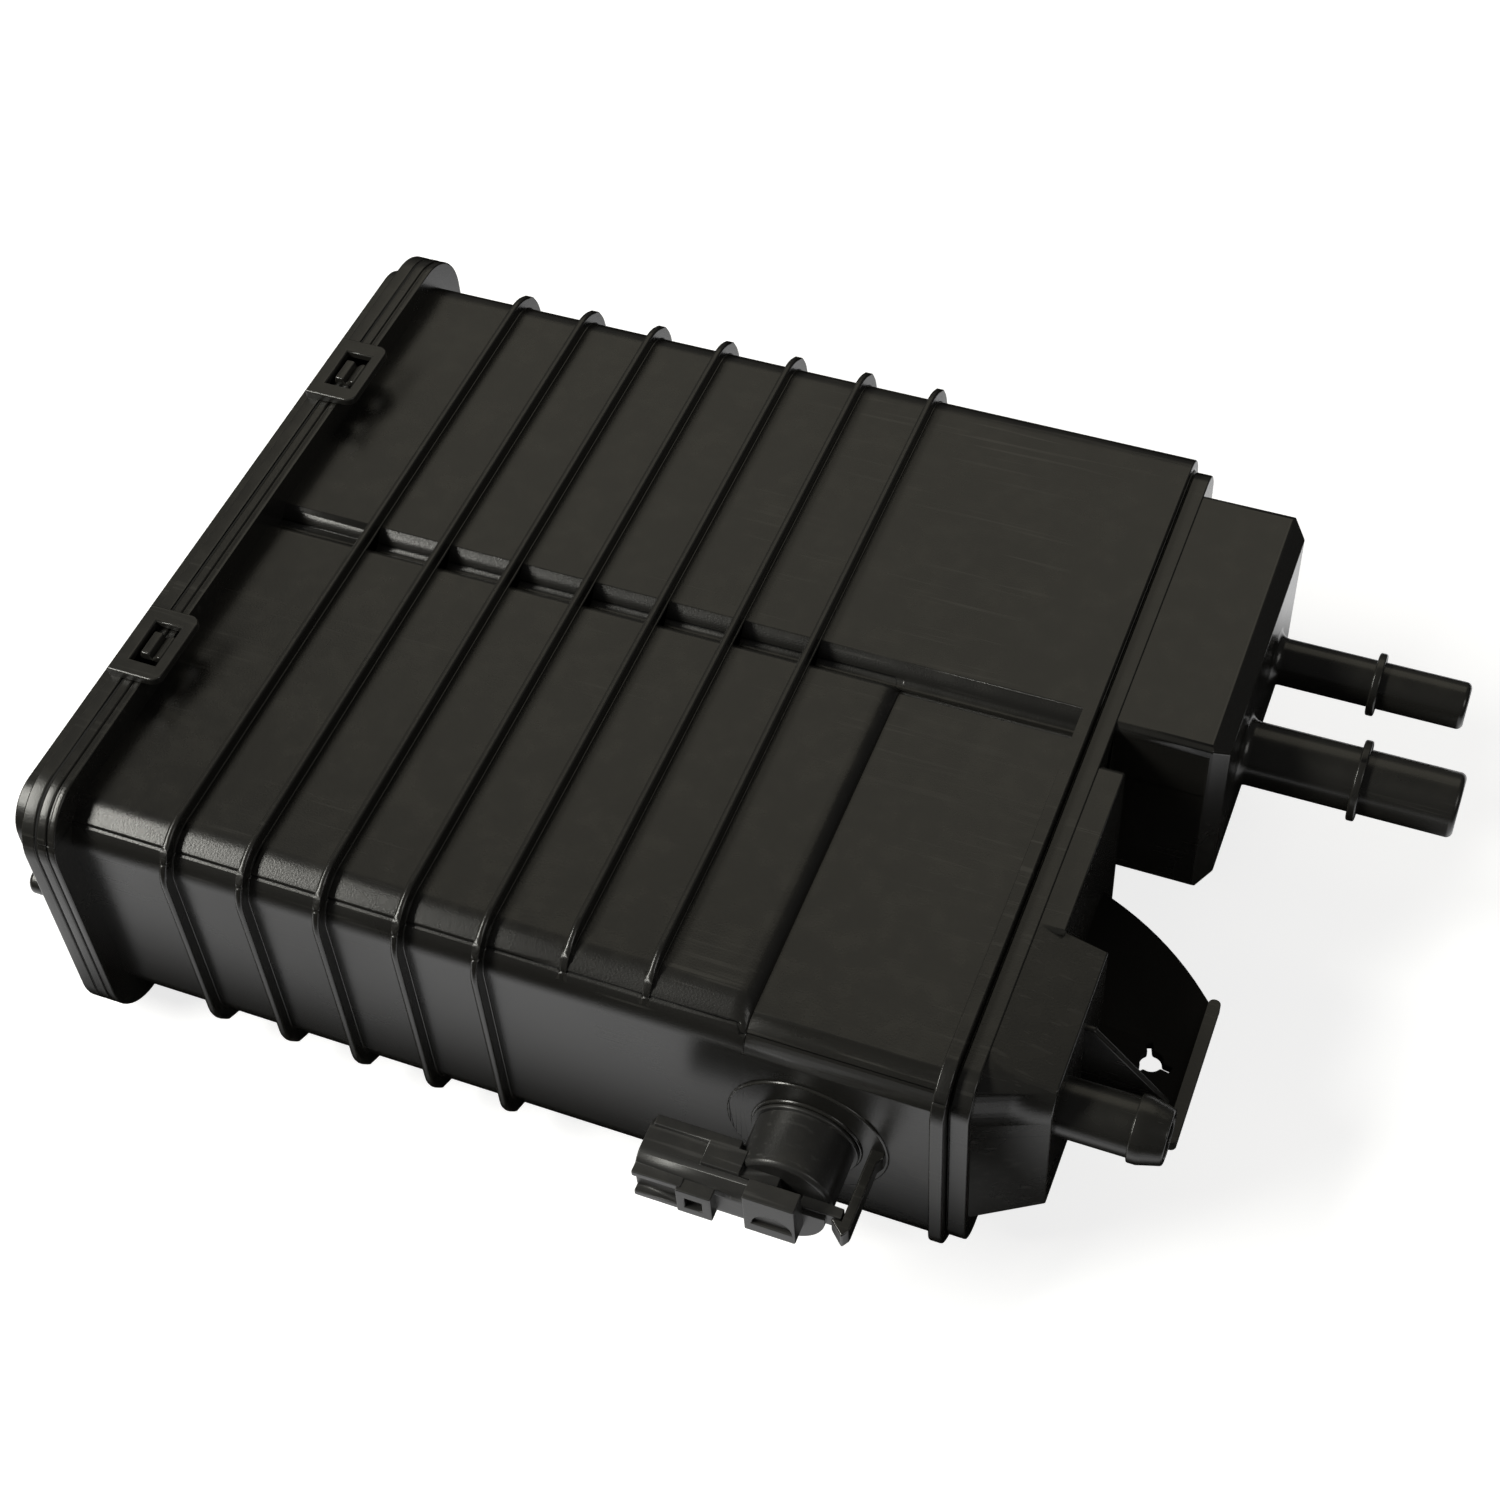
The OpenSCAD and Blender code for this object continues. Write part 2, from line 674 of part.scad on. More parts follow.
// The bare body: two rounded halves with a groove on the top and the bottom
module body_block() {
    difference() {
        union() {
            along_x(0, body_len) far_half();
            along_x(0, step_x) near_half(0);
            along_x(step_x - 1, body_len) near_half(step_depth);
        }
        along_x(-1, step_x) groove_cut(0);
        along_x(step_x, body_len + 1) groove_cut(step_depth);
        mirror([0, 0, 1]) along_x(-1, body_len + 1) groove_cut(0);
    }
}

// Outline of the end-cover flange, set in by a distance
module flange_outline(d) {
    r = flange_r - d;
    rounded(-flange_hw + d, flange_far - d, -flange_hh + d, flange_hh - d, [r, r, r, r]);
}

// Chamber on the spigot side, kept back by a clearance
module far_room(gap) {
    r = edge_r - wall - gap;
    q = groove_r_far - wall;
    rounded(far_y0 + gap, far_y1 - gap, -room_h + gap, room_h - gap, [q, r, r, q]);
    translate([div_far + gap, -slim_h + gap]) square([far_y0 - div_far + q, 2 * (slim_h - gap)]);
}

// Chamber on the connector side, kept back by a clearance, at full size or stepped down
module near_room(gap, drop) {
    r = edge_r - wall - gap;
    q = 1.2;
    w = div_near - near_y1 + q;
    rounded(near_y0 + gap, near_y1 - gap, -room_h + gap, room_h - drop - gap, [r, q, q, r - drop]);
    translate([div_near - gap - w, -slim_h + gap]) square([w, 2 * (slim_h - gap)]);
}

// One rib with its wider foot; a short rib runs out into the wall on the connector side
module rib(x, short) {
    f = rib_foot;
    r = edge_r + rib_h;
    q = edge_r + f;
    y0 = -half_w + (short ? rib_runout : -rib_h);
    y1 = -half_w + (short ? rib_runout : -f);
    along_x(x - rib_t / 2, x + rib_t / 2)
        rounded(y0, far_w + rib_h, -crest_hh, crest_hh, [r, r, r, r]);
    along_x(x - rib_t / 2 - f, x + rib_t / 2 + f)
        rounded(y1, far_w + f, -(half_h + f), half_h + f, [q, q, q, q]);
}

// Wedge that holds a latch loop, on the top of the flange
module wedge(y) {
    along_y(y - wedge_w / 2, y + wedge_w / 2)
        polygon([
            [0.4, flange_hh - 1], [flange_t, flange_hh - 1], [flange_t, flange_hh],
            [bar_x0 - latch_gap, loop_z0 + 0.4], [bar_x0 - latch_gap, loop_z1 - 0.6],
            [bar_x0 - 1.4, loop_z1 - 0.6], [3.8, loop_z0 + 0.5], [3.3, loop_z1 - 0.2],
            [1, loop_z1 - 0.2], [0.4, flange_hh]
        ]);
}

// Snap arm beside the valve, in the valve frame
module snap_arm() {
    translate([0, arm_w / 2, 0]) rotate([90, 0, 0]) linear_extrude(height = arm_w)
        polygon([
            [arm_x0, -1], [arm_x0 + arm_t + 1, -1], [arm_x0 + arm_t + 1, 1.6],
            [arm_x0 + arm_t, 3.2], [arm_x0 + arm_t, arm_z1 - hook_len / 2],
            [arm_x0 + arm_t / 2, arm_z1],
            [arm_x0 - hook_reach, tab_z1 + arm_gap + 0.6],
            [arm_x0 - hook_reach, tab_z1 + arm_gap], [arm_x0, tab_z1 + arm_gap]
        ]);
}

module housing() {
    color([0.08, 0.08, 0.075]) row() difference() {
        union() {
            body_block();
            for (i = [0:rib_count - 1])
                rib(rib_first + i * rib_pitch, i >= side_rib_count);
            along_x(0, line_x) flange_outline(0);
            along_x(line_x - 0.5, flange_t - 0.5) flange_outline(line_w);
            along_x(line_x + line_w, flange_t) flange_outline(0);
            along_x(body_len - port_flange_t, body_len)
                rounded(-port_hw, far_w, -port_hh, port_hh, [port_flange_r, edge_r, edge_r, port_flange_r]);
            for (y = [latch_y, -latch_y]) {
                wedge(y);
                mirror([0, 0, 1]) wedge(y);
            }
            on_valve() {
                translate([0, 0, -1]) cylinder(r = boss_r, h = boss_h + 1);
                translate([0, 0, -1]) cylinder(r = pad_r, h = pad_h + 1);
                snap_arm();
            }
        }
        along_x(-1, body_len + 1) far_room(0);
        along_x(-1, ledge_x) near_room(0, 0);
        along_x(ledge_x - 1, body_len + 1) near_room(0, step_depth);
        on_valve() translate([0, 0, -wall - 1]) cylinder(r = bore_r, h = wall + boss_h + 2);
    }
}

// End cover and gasket

// Latch loop over the flange, drawn on the top
module latch_loop(y) {
    difference() {
        union() {
            along_z(loop_z0, loop_z1)
                rounded(cover_x0, loop_x1, y - latch_w / 2, y + latch_w / 2, [0.5, 2.6, 2.6, 0.5]);
            translate([cover_x0, y - latch_w / 2, flange_hh - 1])
                cube([cover_edge_t, latch_w, loop_z1 - flange_hh + 1]);
        }
        translate([cover_x1 + 0.2, y - latch_w / 2 + latch_side, loop_z0 - 1])
            cube([bar_x0 - cover_x1 - 0.2, latch_w - 2 * latch_side, latch_t + 2]);
    }
}

module end_cover() {
    color([0.085, 0.085, 0.08]) row() {
        difference() {
            union() {
                along_x(cover_x0, cover_x1) flange_outline(0);
                along_x(face_x, cover_x0 + 1) flange_outline(cover_inset);
                for (y = [latch_y, -latch_y]) {
                    latch_loop(y);
                    mirror([0, 0, 1]) latch_loop(y);
                }
                translate([0, peg_y, 0]) {
                    rod_x(face_x - peg_len + 1, face_x + 1, peg_d / 2, peg_d / 2);
                    rod_x(face_x - peg_len, face_x - peg_len + 1, peg_d / 2 - 1, peg_d / 2);
                }
            }
            along_x(seat_x, cover_x1 + 1) flange_outline(cover_inset + wall);
        }
    }
}

module cover_gasket() {
    mouth_r = edge_r - wall + fill_gap;
    color([0.05, 0.05, 0.05]) row() along_x(-gasket_t, 0) difference() {
        flange_outline(gasket_inset);
        rounded(near_y0 - fill_gap, far_y1 + fill_gap, -room_h - fill_gap, room_h + fill_gap,
            [mouth_r, mouth_r, mouth_r, mouth_r]);
    }
}

// Port cover

// Outline of the cover flange, set in by a distance
module cover_outline(d) {
    rounded(-cover_hw + d, cover_far - d, -cover_hh + d, cover_hh - d,
        [cover_r, cover_r, cover_r, cover_r]);
}

// Hose spigot with collar, rounded tip and hollow-rounded root, along X from the box face
module spigot(d, len, free) {
    x1 = box_x1 + len;
    collar_x1 = x1 - free;
    r = d / 2;
    rod_x(box_x1 - 1, x1 - tip_r, r, r);
    translate([x1 - tip_r, 0, 0]) rotate([0, 90, 0]) rotate_extrude() {
        square([r - tip_r, tip_r]);
        intersection() {
            translate([r - tip_r, 0]) circle(tip_r);
            square([r, tip_r]);
        }
    }
    rod_x(collar_x1 - collar_t, collar_x1, r + collar_rise, r + collar_rise);
    translate([box_x1, 0, 0]) rotate([0, 90, 0]) rotate_extrude() difference() {
        translate([0, -0.5]) square([r + root_flare, root_flare + 0.5]);
        translate([r + root_flare, root_flare]) circle(root_flare);
    }
}

// Outside of the port box
module box_shape(gap) {
    c = box_chamfer;
    x0 = seam_x1 - (gap > 0 ? 1 + seam_t : 0);
    x1 = box_x1 - gap;
    y0 = box_side + gap;
    y1 = box_y1 - gap;
    z0 = box_z0 + gap;
    z1 = box_top - gap;
    intersection() {
        along_z(z0, z1)
            polygon([[x0, y0], [x1 - c, y0], [x1, y0 + c], [x1, y1 - c], [x1 - c, y1], [x0, y1]]);
        along_y(y0 - 1, y1 + 1)
            polygon([[x0, z0], [x1 - c, z0], [x1, z0 + c], [x1, z1 - c], [x1 - c, z1], [x0, z1]]);
        along_x(x0 - 1, x1 + 1)
            rounded(y0, y1, z0, z1, [box_edge, box_edge, box_edge, box_edge]);
    }
}

// Shallow dome over the connector-side chamber
module dome_shape(gap) {
    x0 = seam_x1 - (gap > 0 ? 1 + seam_t : 0);
    along_x(x0, dome_x1 - gap)
        rounded(dome_y0 + gap, dome_y1 - gap, -dome_hh + gap, dome_hh - gap, [1, 2.5, 2.5, 1]);
}

// Everything in front of the plane through three points, kept back by a clearance
module beyond(a, b, c, gap) {
    n = cross(b - a, c - a);
    translate(a) rotate([0, acos(n[2] / norm(n)), atan2(n[1], n[0])])
        translate([-100, -100, -gap]) cube([200, 200, 100]);
}

// Pod that carries the hose nipple: its sides lean in from the root to a smaller face
module pod_shape(gap) {
    x0 = deck_x - (gap > 0 ? cover_flange_t + seam_t + 1 : 1);
    x1 = pod_x1;
    lean = atan2(pod_outer_draft, pod_rise);
    top = [deck_x, 0, dome_hh];
    low = [deck_x, 0, pod_z0];
    difference() {
        intersection() {
            along_x(x0, x1 - gap)
                rounded(pod_y0 + gap, pod_y1 - gap, pod_z0 + gap, dome_hh - gap, [1, 1, 1, 1]);
            translate([deck_x, pod_y0, 0]) rotate(lean) along_x(-pod_w, pod_w)
                rounded(gap, 2 * pod_w, pod_z0 - pod_r, dome_hh - gap, [1, 1, 1, pod_r - gap]);
        }
        beyond([deck_x, pod_y1, 0], [deck_x, pod_y1, 1], [x1, pod_y1 - pod_inner_draft, 0], gap);
        beyond(top, [x1, 0, dome_hh - pod_top_drop], top + [0, 1, 0], gap);
        beyond(low, low + [0, 1, 0], [x1, 0, pod_z0 + pod_bottom_lift], gap);
    }
}

// Hose nipple with one barb, along X from the pod face
module nipple() {
    r = nipple_d / 2;
    b = r + barb_rise;
    rod_x(pod_x1 - 1, nipple_x1 - barb_len + 1, r, r);
    rod_x(nipple_x1 - barb_len, nipple_x1 - barb_len + barb_flat, b, b);
    rod_x(nipple_x1 - barb_len + barb_flat, nipple_x1, b, r - barb_tip);
}

// Flat bracket with a clip hole and an end bead, plus its gusset
module shelf() {
    difference() {
        union() {
            along_z(shelf_z0, shelf_z1) intersection() {
                rounded(dome_x1 - 1, shelf_x1 - 0.75 * bead_w, shelf_y0, shelf_y1 + 2, [1, 3, 1, 1]);
                translate([shelf_cx, shelf_cy]) circle(r = shelf_r, $fn = 180);
            }
            along_z(shelf_z0, shelf_z1 + bead_h)
                rounded(shelf_x1 - bead_w, shelf_x1, shelf_y0 + bead_in, clip_y + bead_past,
                    [1.3, 1.3, 1.3, 1.3]);
            along_y(gusset_y - gusset_t / 2, gusset_y + gusset_t / 2) difference() {
                polygon([
                    [pod_x1 - 1, shelf_z1 - 1], [shelf_x1 - gusset_back, shelf_z1 - 1],
                    [shelf_x1 - gusset_back, shelf_z1 + gusset_tip], [pod_x1 + 2, shelf_z1 + gusset_h],
                    [pod_x1 - 1, shelf_z1 + gusset_h]
                ]);
                translate([shelf_x1 + gusset_curve_x, shelf_z1 + gusset_h + gusset_curve_z])
                    circle(r = gusset_curve_r, $fn = 120);
            }
        }
        translate([clip_x, clip_y, shelf_z0 - 1]) {
            cylinder(d = clip_d, h = shelf_t + 2);
            for (a = [110, 230, 350])
                rotate(a) translate([0, -slot_w / 2, 0]) cube([slot_reach, slot_w, shelf_t + 2]);
        }
    }
}

module port_cover() {
    color([0.08, 0.08, 0.075]) row() difference() {
        union() {
            along_x(body_len, seam_x1 + 1) cover_outline(seam_in);
            along_x(seam_x1, deck_x) cover_outline(0);
            box_shape(0);
            dome_shape(0);
            pod_shape(0);
            translate([0, spigot_a_y, spigot_z]) spigot(spigot_a_d, spigot_a_len, spigot_a_free);
            translate([0, spigot_b_y, spigot_z]) spigot(spigot_b_d, spigot_b_len, spigot_b_free);
            translate([0, nipple_y, nipple_z]) nipple();
            shelf();
        }
        box_shape(wall);
        dome_shape(wall);
        pod_shape(wall);
        translate([0, spigot_a_y, spigot_z])
            rod_x(box_x1 - wall - 1, x_max + 1, spigot_a_bore / 2, spigot_a_bore / 2);
        translate([0, spigot_b_y, spigot_z])
            rod_x(box_x1 - wall - 1, x_max + 1, spigot_b_bore / 2, spigot_b_bore / 2);
        translate([0, nipple_y, nipple_z])
            rod_x(pod_x1 - wall - 1, nipple_x1 + 1, nipple_bore / 2, nipple_bore / 2);
    }
}

// Chamber fill, from the end cover towards the ports

module near_bed() {
    color([0.03, 0.03, 0.03]) row()
        along_x(fill_x0 + pad_t + 2 * soft_gap, near_grid_x - pad_t - 2 * soft_gap) near_room(fill_gap, 0);
}

module far_bed() {
    color([0.03, 0.03, 0.03]) row()
        along_x(fill_x0 + pad_t + 2 * soft_gap, far_grid_x - pad_t - 2 * soft_gap) far_room(fill_gap);
}

module near_rear_pad() {
    color([0.75, 0.73, 0.66]) row()
        along_x(fill_x0 + soft_gap, fill_x0 + soft_gap + pad_t) near_room(fill_gap, 0);
}

module near_front_pad() {
    color([0.75, 0.73, 0.66]) row()
        along_x(near_grid_x - soft_gap - pad_t, near_grid_x - soft_gap) near_room(fill_gap, 0);
}

module far_rear_pad() {
    color([0.75, 0.73, 0.66]) row()
        along_x(fill_x0 + soft_gap, fill_x0 + soft_gap + pad_t) far_room(fill_gap);
}

module far_front_pad() {
    color([0.75, 0.73, 0.66]) row()
        along_x(far_grid_x - soft_gap - pad_t, far_grid_x - soft_gap) far_room(fill_gap);
}

// Rows of round holes for a perforated plate
module plate_holes(y_mid, rows, lines) {
    for (i = [0:rows - 1]) for (j = [0:lines - 1])
        translate([y_mid + (i - (rows - 1) / 2) * hole_pitch, (j - (lines - 1) / 2) * hole_pitch])
            circle(d = hole_d, $fn = 32);
}

near_mid = (near_y0 + near_y1) / 2;
far_mid = (far_y0 + far_y1) / 2;
centre_r = bed_spring_d / 2 - bed_wire / 2 - 0.4;

// Small raised discs that keep the springs of a chamber in place
module spring_seats(y_mid) {
    for (s = [-1, 1])
        translate([press_x - 2, y_mid + s * bed_spring_pitch / 2, 0])
            rotate([0, 90, 0]) cylinder(r = centre_r, h = 3);
}

module near_press_plate() {
    color([0.3, 0.3, 0.3]) row() {
        along_x(press_x, press_x + plate_t) difference() {
            near_room(fill_gap, 0);
            plate_holes(near_mid, 6, 4);
        }
        difference() {
            spring_seats(near_mid);
            along_x(press_x - 3, press_x + 2) plate_holes(near_mid, 6, 4);
        }
    }
}

module far_press_plate() {
    color([0.3, 0.3, 0.3]) row() {
        along_x(press_x, press_x + plate_t) difference() {
            far_room(fill_gap);
            plate_holes(far_mid, 6, 4);
        }
        difference() {
            spring_seats(far_mid);
            along_x(press_x - 3, press_x + 2) plate_holes(far_mid, 6, 4);
        }
    }
}

module near_grid() {
    color([0.3, 0.3, 0.3]) row() along_x(near_grid_x, ledge_x) difference() {
        near_room(fill_gap, 0);
        plate_holes(near_mid, 6, 4);
    }
}

module far_grid() {
    color([0.3, 0.3, 0.3]) row() along_x(far_grid_x, body_len) difference() {
        far_room(fill_gap);
        plate_holes(far_mid, 6, 4);
    }
}

// The two springs of a chamber, between the end cover and a press plate
module bed_springs(y_mid) {
    for (s = [-1, 1])
        translate([seat_x, y_mid + s * bed_spring_pitch / 2, 0]) rotate([0, 90, 0])
            coil_spring(bed_spring_d / 2, bed_wire, press_x - seat_x, bed_turns);
}

module near_springs() {
    color([0.6, 0.6, 0.62]) row() bed_springs(near_mid);
}

module far_springs() {
    color([0.6, 0.6, 0.62]) row() bed_springs(far_mid);
}

// Vent valve

module valve_body() {
    color([0.07, 0.07, 0.07]) row() on_valve() difference() {
        union() {
            translate([0, 0, boss_h]) cylinder(r = valve_flange_r, h = valve_flange_t);
            translate([0, 0, flange_z1 - eps]) cylinder(r = valve_r, h = valve_z1 - 0.8 - flange_z1 + eps);
            translate([0, 0, valve_z1 - 0.8]) cylinder(r1 = valve_r, r2 = valve_r - 0.8, h = 0.8);
            intersection() {
                translate([0, 0, valve_z1 - 1]) cylinder(r = stub_r, h = stub_h + 1);
                translate([-20, stub_top - 40, valve_z1 - 2]) cube([40, 40, stub_h + 4]);
            }
            translate([-block_w / 2, block_up - block_h / 2, valve_z1 + stub_h - 0.5])
                cube([block_w, block_h, block_out - stub_h + 0.5]);
            translate([0, 0, plug_z]) along_x(socket_x, 0)
                centred(socket_w / 2, socket_w / 2, socket_r);
            for (v = [rail_up, -rail_low])
                translate([socket_x, v - rail_t / 2, plug_z + socket_w / 2 - 3])
                    cube([socket_reach - catch_reach + 1, rail_t, rail_h + 3]);
            translate([socket_x + 1, socket_w / 2 - 3, plug_z - socket_w / 2 + 1.4])
                cube([socket_reach - valve_r, ridge_h + 3, ridge_w]);
            translate([-valve_r - heel_len, socket_w / 2 - 3, plug_z - socket_w / 2 + 3.4])
                cube([heel_len + 3, ridge_h + 3, socket_w / 2 - 0.6]);
            translate([catch_x0, -catch_w / 2, plug_z]) cube([catch_len, catch_w, catch_z1 - plug_z]);
            translate([block_w / 2 - 1, -tab_w / 2, valve_z1]) cube([tab_len + 1, tab_w, tab_t]);
        }
        translate([0, 0, boss_h - 1]) cylinder(r = room_r, h = room_z1 - boss_h + 1);
        translate([0, 0, plug_z]) along_x(socket_x - 1, socket_floor)
            centred(socket_w / 2 - socket_wall, socket_w / 2 - socket_wall, socket_r - socket_wall);
        translate([catch_x0 + 2, -catch_w / 2 + 2.6, catch_z1 - 1.4])
            cube([catch_len - 4.2, catch_w - 5.4, 2]);
        translate([0.6, block_up - 3.4, block_z1 - 0.9]) intersection() {
            cylinder(r = 4.6, h = 2);
            translate([-6, 0, 0]) cube([12, 12, 2]);
        }
        for (s = [-1, 1])
            translate([socket_floor - 1, s * blade_pitch / 2 - blade_w / 2, plug_z - blade_t / 2])
                cube([9, blade_w, blade_t]);
    }
}

module valve_nose() {
    color([0.2, 0.2, 0.2]) row() on_valve() difference() {
        union() {
            translate([0, 0, boss_h]) cylinder(r = room_r - coil_gap, h = valve_flange_t);
            translate([0, 0, nose_z0]) cylinder(r = nose_r, h = boss_h - nose_z0 + eps);
        }
        translate([0, 0, nose_floor]) difference() {
            cylinder(r = nose_bore, h = flange_z1 - nose_floor + 1);
            tube(vent_r + 0.8, vent_r, -1, lip_h);
        }
        translate([0, 0, nose_z0 - 1]) cylinder(r = vent_r, h = valve_wall + 2);
        for (a = [45, 135])
            rotate(a) translate([-nose_r - 1, -2.6, nose_floor + 1]) cube([2 * nose_r + 2, 5.2, 4.6]);
        tube(nose_r + 1, ring_r - ring_d / 2, ring_z - ring_d / 2 - 0.1, ring_z + ring_d / 2 + 0.1);
    }
}

module valve_ring() {
    color([0.06, 0.06, 0.06]) row() on_valve() translate([0, 0, ring_z])
        rotate_extrude() translate([ring_r, 0]) circle(d = ring_d);
}

module pole_core() {
    color([0.55, 0.55, 0.57]) row() on_valve() difference() {
        union() {
            translate([0, 0, pole_z0]) cylinder(r = yoke_in - coil_gap, h = pole_z1 - pole_z0);
            translate([0, 0, pole_z0]) cylinder(r = pole_r, h = pole_top - pole_z0);
        }
        translate([0, 0, pole_z0 - 1]) cylinder(r = stem_r + plunger_gap, h = pole_top - pole_z0 + 2);
    }
}

module yoke() {
    color([0.55, 0.55, 0.57]) row() on_valve() difference() {
        translate([0, 0, pole_z0]) cylinder(r = yoke_r, h = yoke_z1 - pole_z0);
        translate([0, 0, pole_z0 - 1]) cylinder(r = yoke_in, h = yoke_z1 - yoke_t - pole_z0 + 1);
    }
}

module bobbin() {
    color([0.16, 0.16, 0.15]) row() on_valve() {
        tube(bobbin_r, bobbin_bore, bobbin_z0, bobbin_z1);
        tube(bobbin_flange_r, bobbin_bore, bobbin_z0, bobbin_z0 + bobbin_wall);
        tube(bobbin_flange_r, bobbin_bore, bobbin_z1 - bobbin_wall, bobbin_z1);
    }
}

module coil() {
    color([0.62, 0.32, 0.16]) row() on_valve()
        tube(bobbin_flange_r - 0.3, bobbin_r + coil_gap,
            bobbin_z0 + bobbin_wall + coil_gap, bobbin_z1 - bobbin_wall - coil_gap);
}

module plunger() {
    color([0.6, 0.6, 0.62]) row() on_valve() {
        translate([0, 0, plunger_z0]) cylinder(r = plunger_r, h = plunger_len);
        translate([0, 0, seal_z1]) cylinder(r = stem_r, h = plunger_z0 - seal_z1 + 1);
        translate([0, 0, seal_z1]) cylinder(r = seal_plate_r, h = seal_plate_t);
    }
}

module valve_seal() {
    color([0.07, 0.07, 0.07]) row() on_valve()
        translate([0, 0, seal_z0]) cylinder(r = seal_r, h = seal_t);
}

module return_spring() {
    color([0.65, 0.65, 0.67]) row() on_valve()
        translate([0, 0, nose_floor]) coil_spring(return_r, return_wire, seal_z1 - nose_floor, return_turns);
}

module terminals() {
    color([0.72, 0.58, 0.28]) row() on_valve()
        for (s = [-1, 1])
            translate([socket_floor - blade_free, s * blade_pitch / 2 - blade_w / 2, plug_z - blade_t / 2])
                cube([blade_free + 8, blade_w, blade_t]);
}

housing();
end_cover();
cover_gasket();
port_cover();
near_bed();
far_bed();
near_rear_pad();
near_front_pad();
far_rear_pad();
far_front_pad();
near_press_plate();
far_press_plate();
near_grid();
far_grid();
near_springs();
far_springs();
valve_body();
valve_nose();
valve_ring();
bobbin();
coil();
pole_core();
yoke();
plunger();
valve_seal();
return_spring();
terminals();
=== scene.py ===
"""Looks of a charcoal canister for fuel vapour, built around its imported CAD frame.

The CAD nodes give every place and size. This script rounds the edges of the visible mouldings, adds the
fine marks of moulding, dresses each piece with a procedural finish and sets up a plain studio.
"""

import logging
import math
from dataclasses import dataclass, field
from enum import Enum
from typing import ClassVar, Dict, List, Optional, Sequence, Tuple

import bmesh
import bpy
from mathutils import Matrix, Vector


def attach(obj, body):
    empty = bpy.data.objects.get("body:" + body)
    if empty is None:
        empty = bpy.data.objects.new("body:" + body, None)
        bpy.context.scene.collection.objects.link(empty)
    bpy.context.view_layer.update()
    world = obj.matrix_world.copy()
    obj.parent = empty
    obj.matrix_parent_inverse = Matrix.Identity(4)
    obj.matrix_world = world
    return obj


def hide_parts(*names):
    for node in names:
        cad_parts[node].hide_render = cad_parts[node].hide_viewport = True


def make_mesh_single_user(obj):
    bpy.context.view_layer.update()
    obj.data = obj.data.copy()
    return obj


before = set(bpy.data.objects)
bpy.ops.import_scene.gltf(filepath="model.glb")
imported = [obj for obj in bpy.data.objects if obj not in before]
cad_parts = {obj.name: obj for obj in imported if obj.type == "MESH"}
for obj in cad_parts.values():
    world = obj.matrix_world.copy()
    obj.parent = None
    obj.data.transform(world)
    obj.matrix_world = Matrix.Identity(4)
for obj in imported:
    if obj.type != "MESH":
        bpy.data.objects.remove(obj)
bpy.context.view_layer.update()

LOG = logging.getLogger("canister")
MM = 0.001
Colour = Tuple[float, float, float]
Point = Tuple[float, float, float]
Span = Tuple[float, float]

# Row-frame place of the housing frame's origin, in millimetres: the face of the end-cover flange,
# the middle of the width and half height.
HOUSING_ORIGIN: Point = (-141.9, 8.1, 43.4)

# Where the parting line turns down beside the step, and half its width, in housing millimetres.
PARTING_TURN_X = 169.0
PARTING_LINE_W = 0.26

# How close a point must lie to a cutting plane to count as on it, in metres.
CUT_REACH = 1e-7

# Face layer that marks the rounded edges, for the finishes, which paint them paler as rubbed wear and painted
# highlight.
ROUNDED_LAYER = "rounded_edge"


def place(x: float, y: float, z: float) -> Vector:
    """Row-frame point in metres for a point of the housing frame in millimetres.

    Args:
        x: distance from the end-cover flange face towards the ports.
        y: distance from the middle of the width.
        z: height above half height.

    Returns:
        The point in the row frame.
    """
    ox, oy, oz = HOUSING_ORIGIN
    return Vector(((x + ox) * MM, (y + oy) * MM, (z + oz) * MM))


def in_housing(point: Vector) -> Point:
    """Housing-frame point in millimetres for a row-frame point in metres."""
    ox, oy, oz = HOUSING_ORIGIN
    return (point.x / MM - ox, point.y / MM - oy, point.z / MM - oz)


class Family(Enum):
    """What kind of surface a finish is."""

    MOULDED = "moulded"
    RUBBER = "rubber"
    METAL = "metal"
    FELT = "felt"
    GRANULES = "granules"


@dataclass(frozen=True)
class Finish:
    """One surface finish.

    Attributes:
        name: material name.
        family: kind of surface.
        colour: linear base colour.
        roughness: mean roughness.
        grain_scale: fine texture cells per metre.
        grain_depth: strength of the fine relief.
        scuffs: how much handling shows, 0 to 1.
        dust: how much pale dust lies on upward faces, 0 to 1.
        edge_wear_and_highlight: how much paler and glossier the rounded edges are, 0 to 1; the paler colour is
            rubbed wear and painted highlight.
        specular: strength of the mirror-like part, 0.5 for plain plastic.
        parting: heights of the mould's parting line in housing millimetres, before and after its turn.
    """

    name: str
    family: Family
    colour: Colour
    roughness: float
    grain_scale: float = 2200.0
    grain_depth: float = 0.10
    scuffs: float = 0.0
    dust: float = 0.0
    edge_wear_and_highlight: float = 0.0
    specular: float = 0.5
    parting: Optional[Span] = None


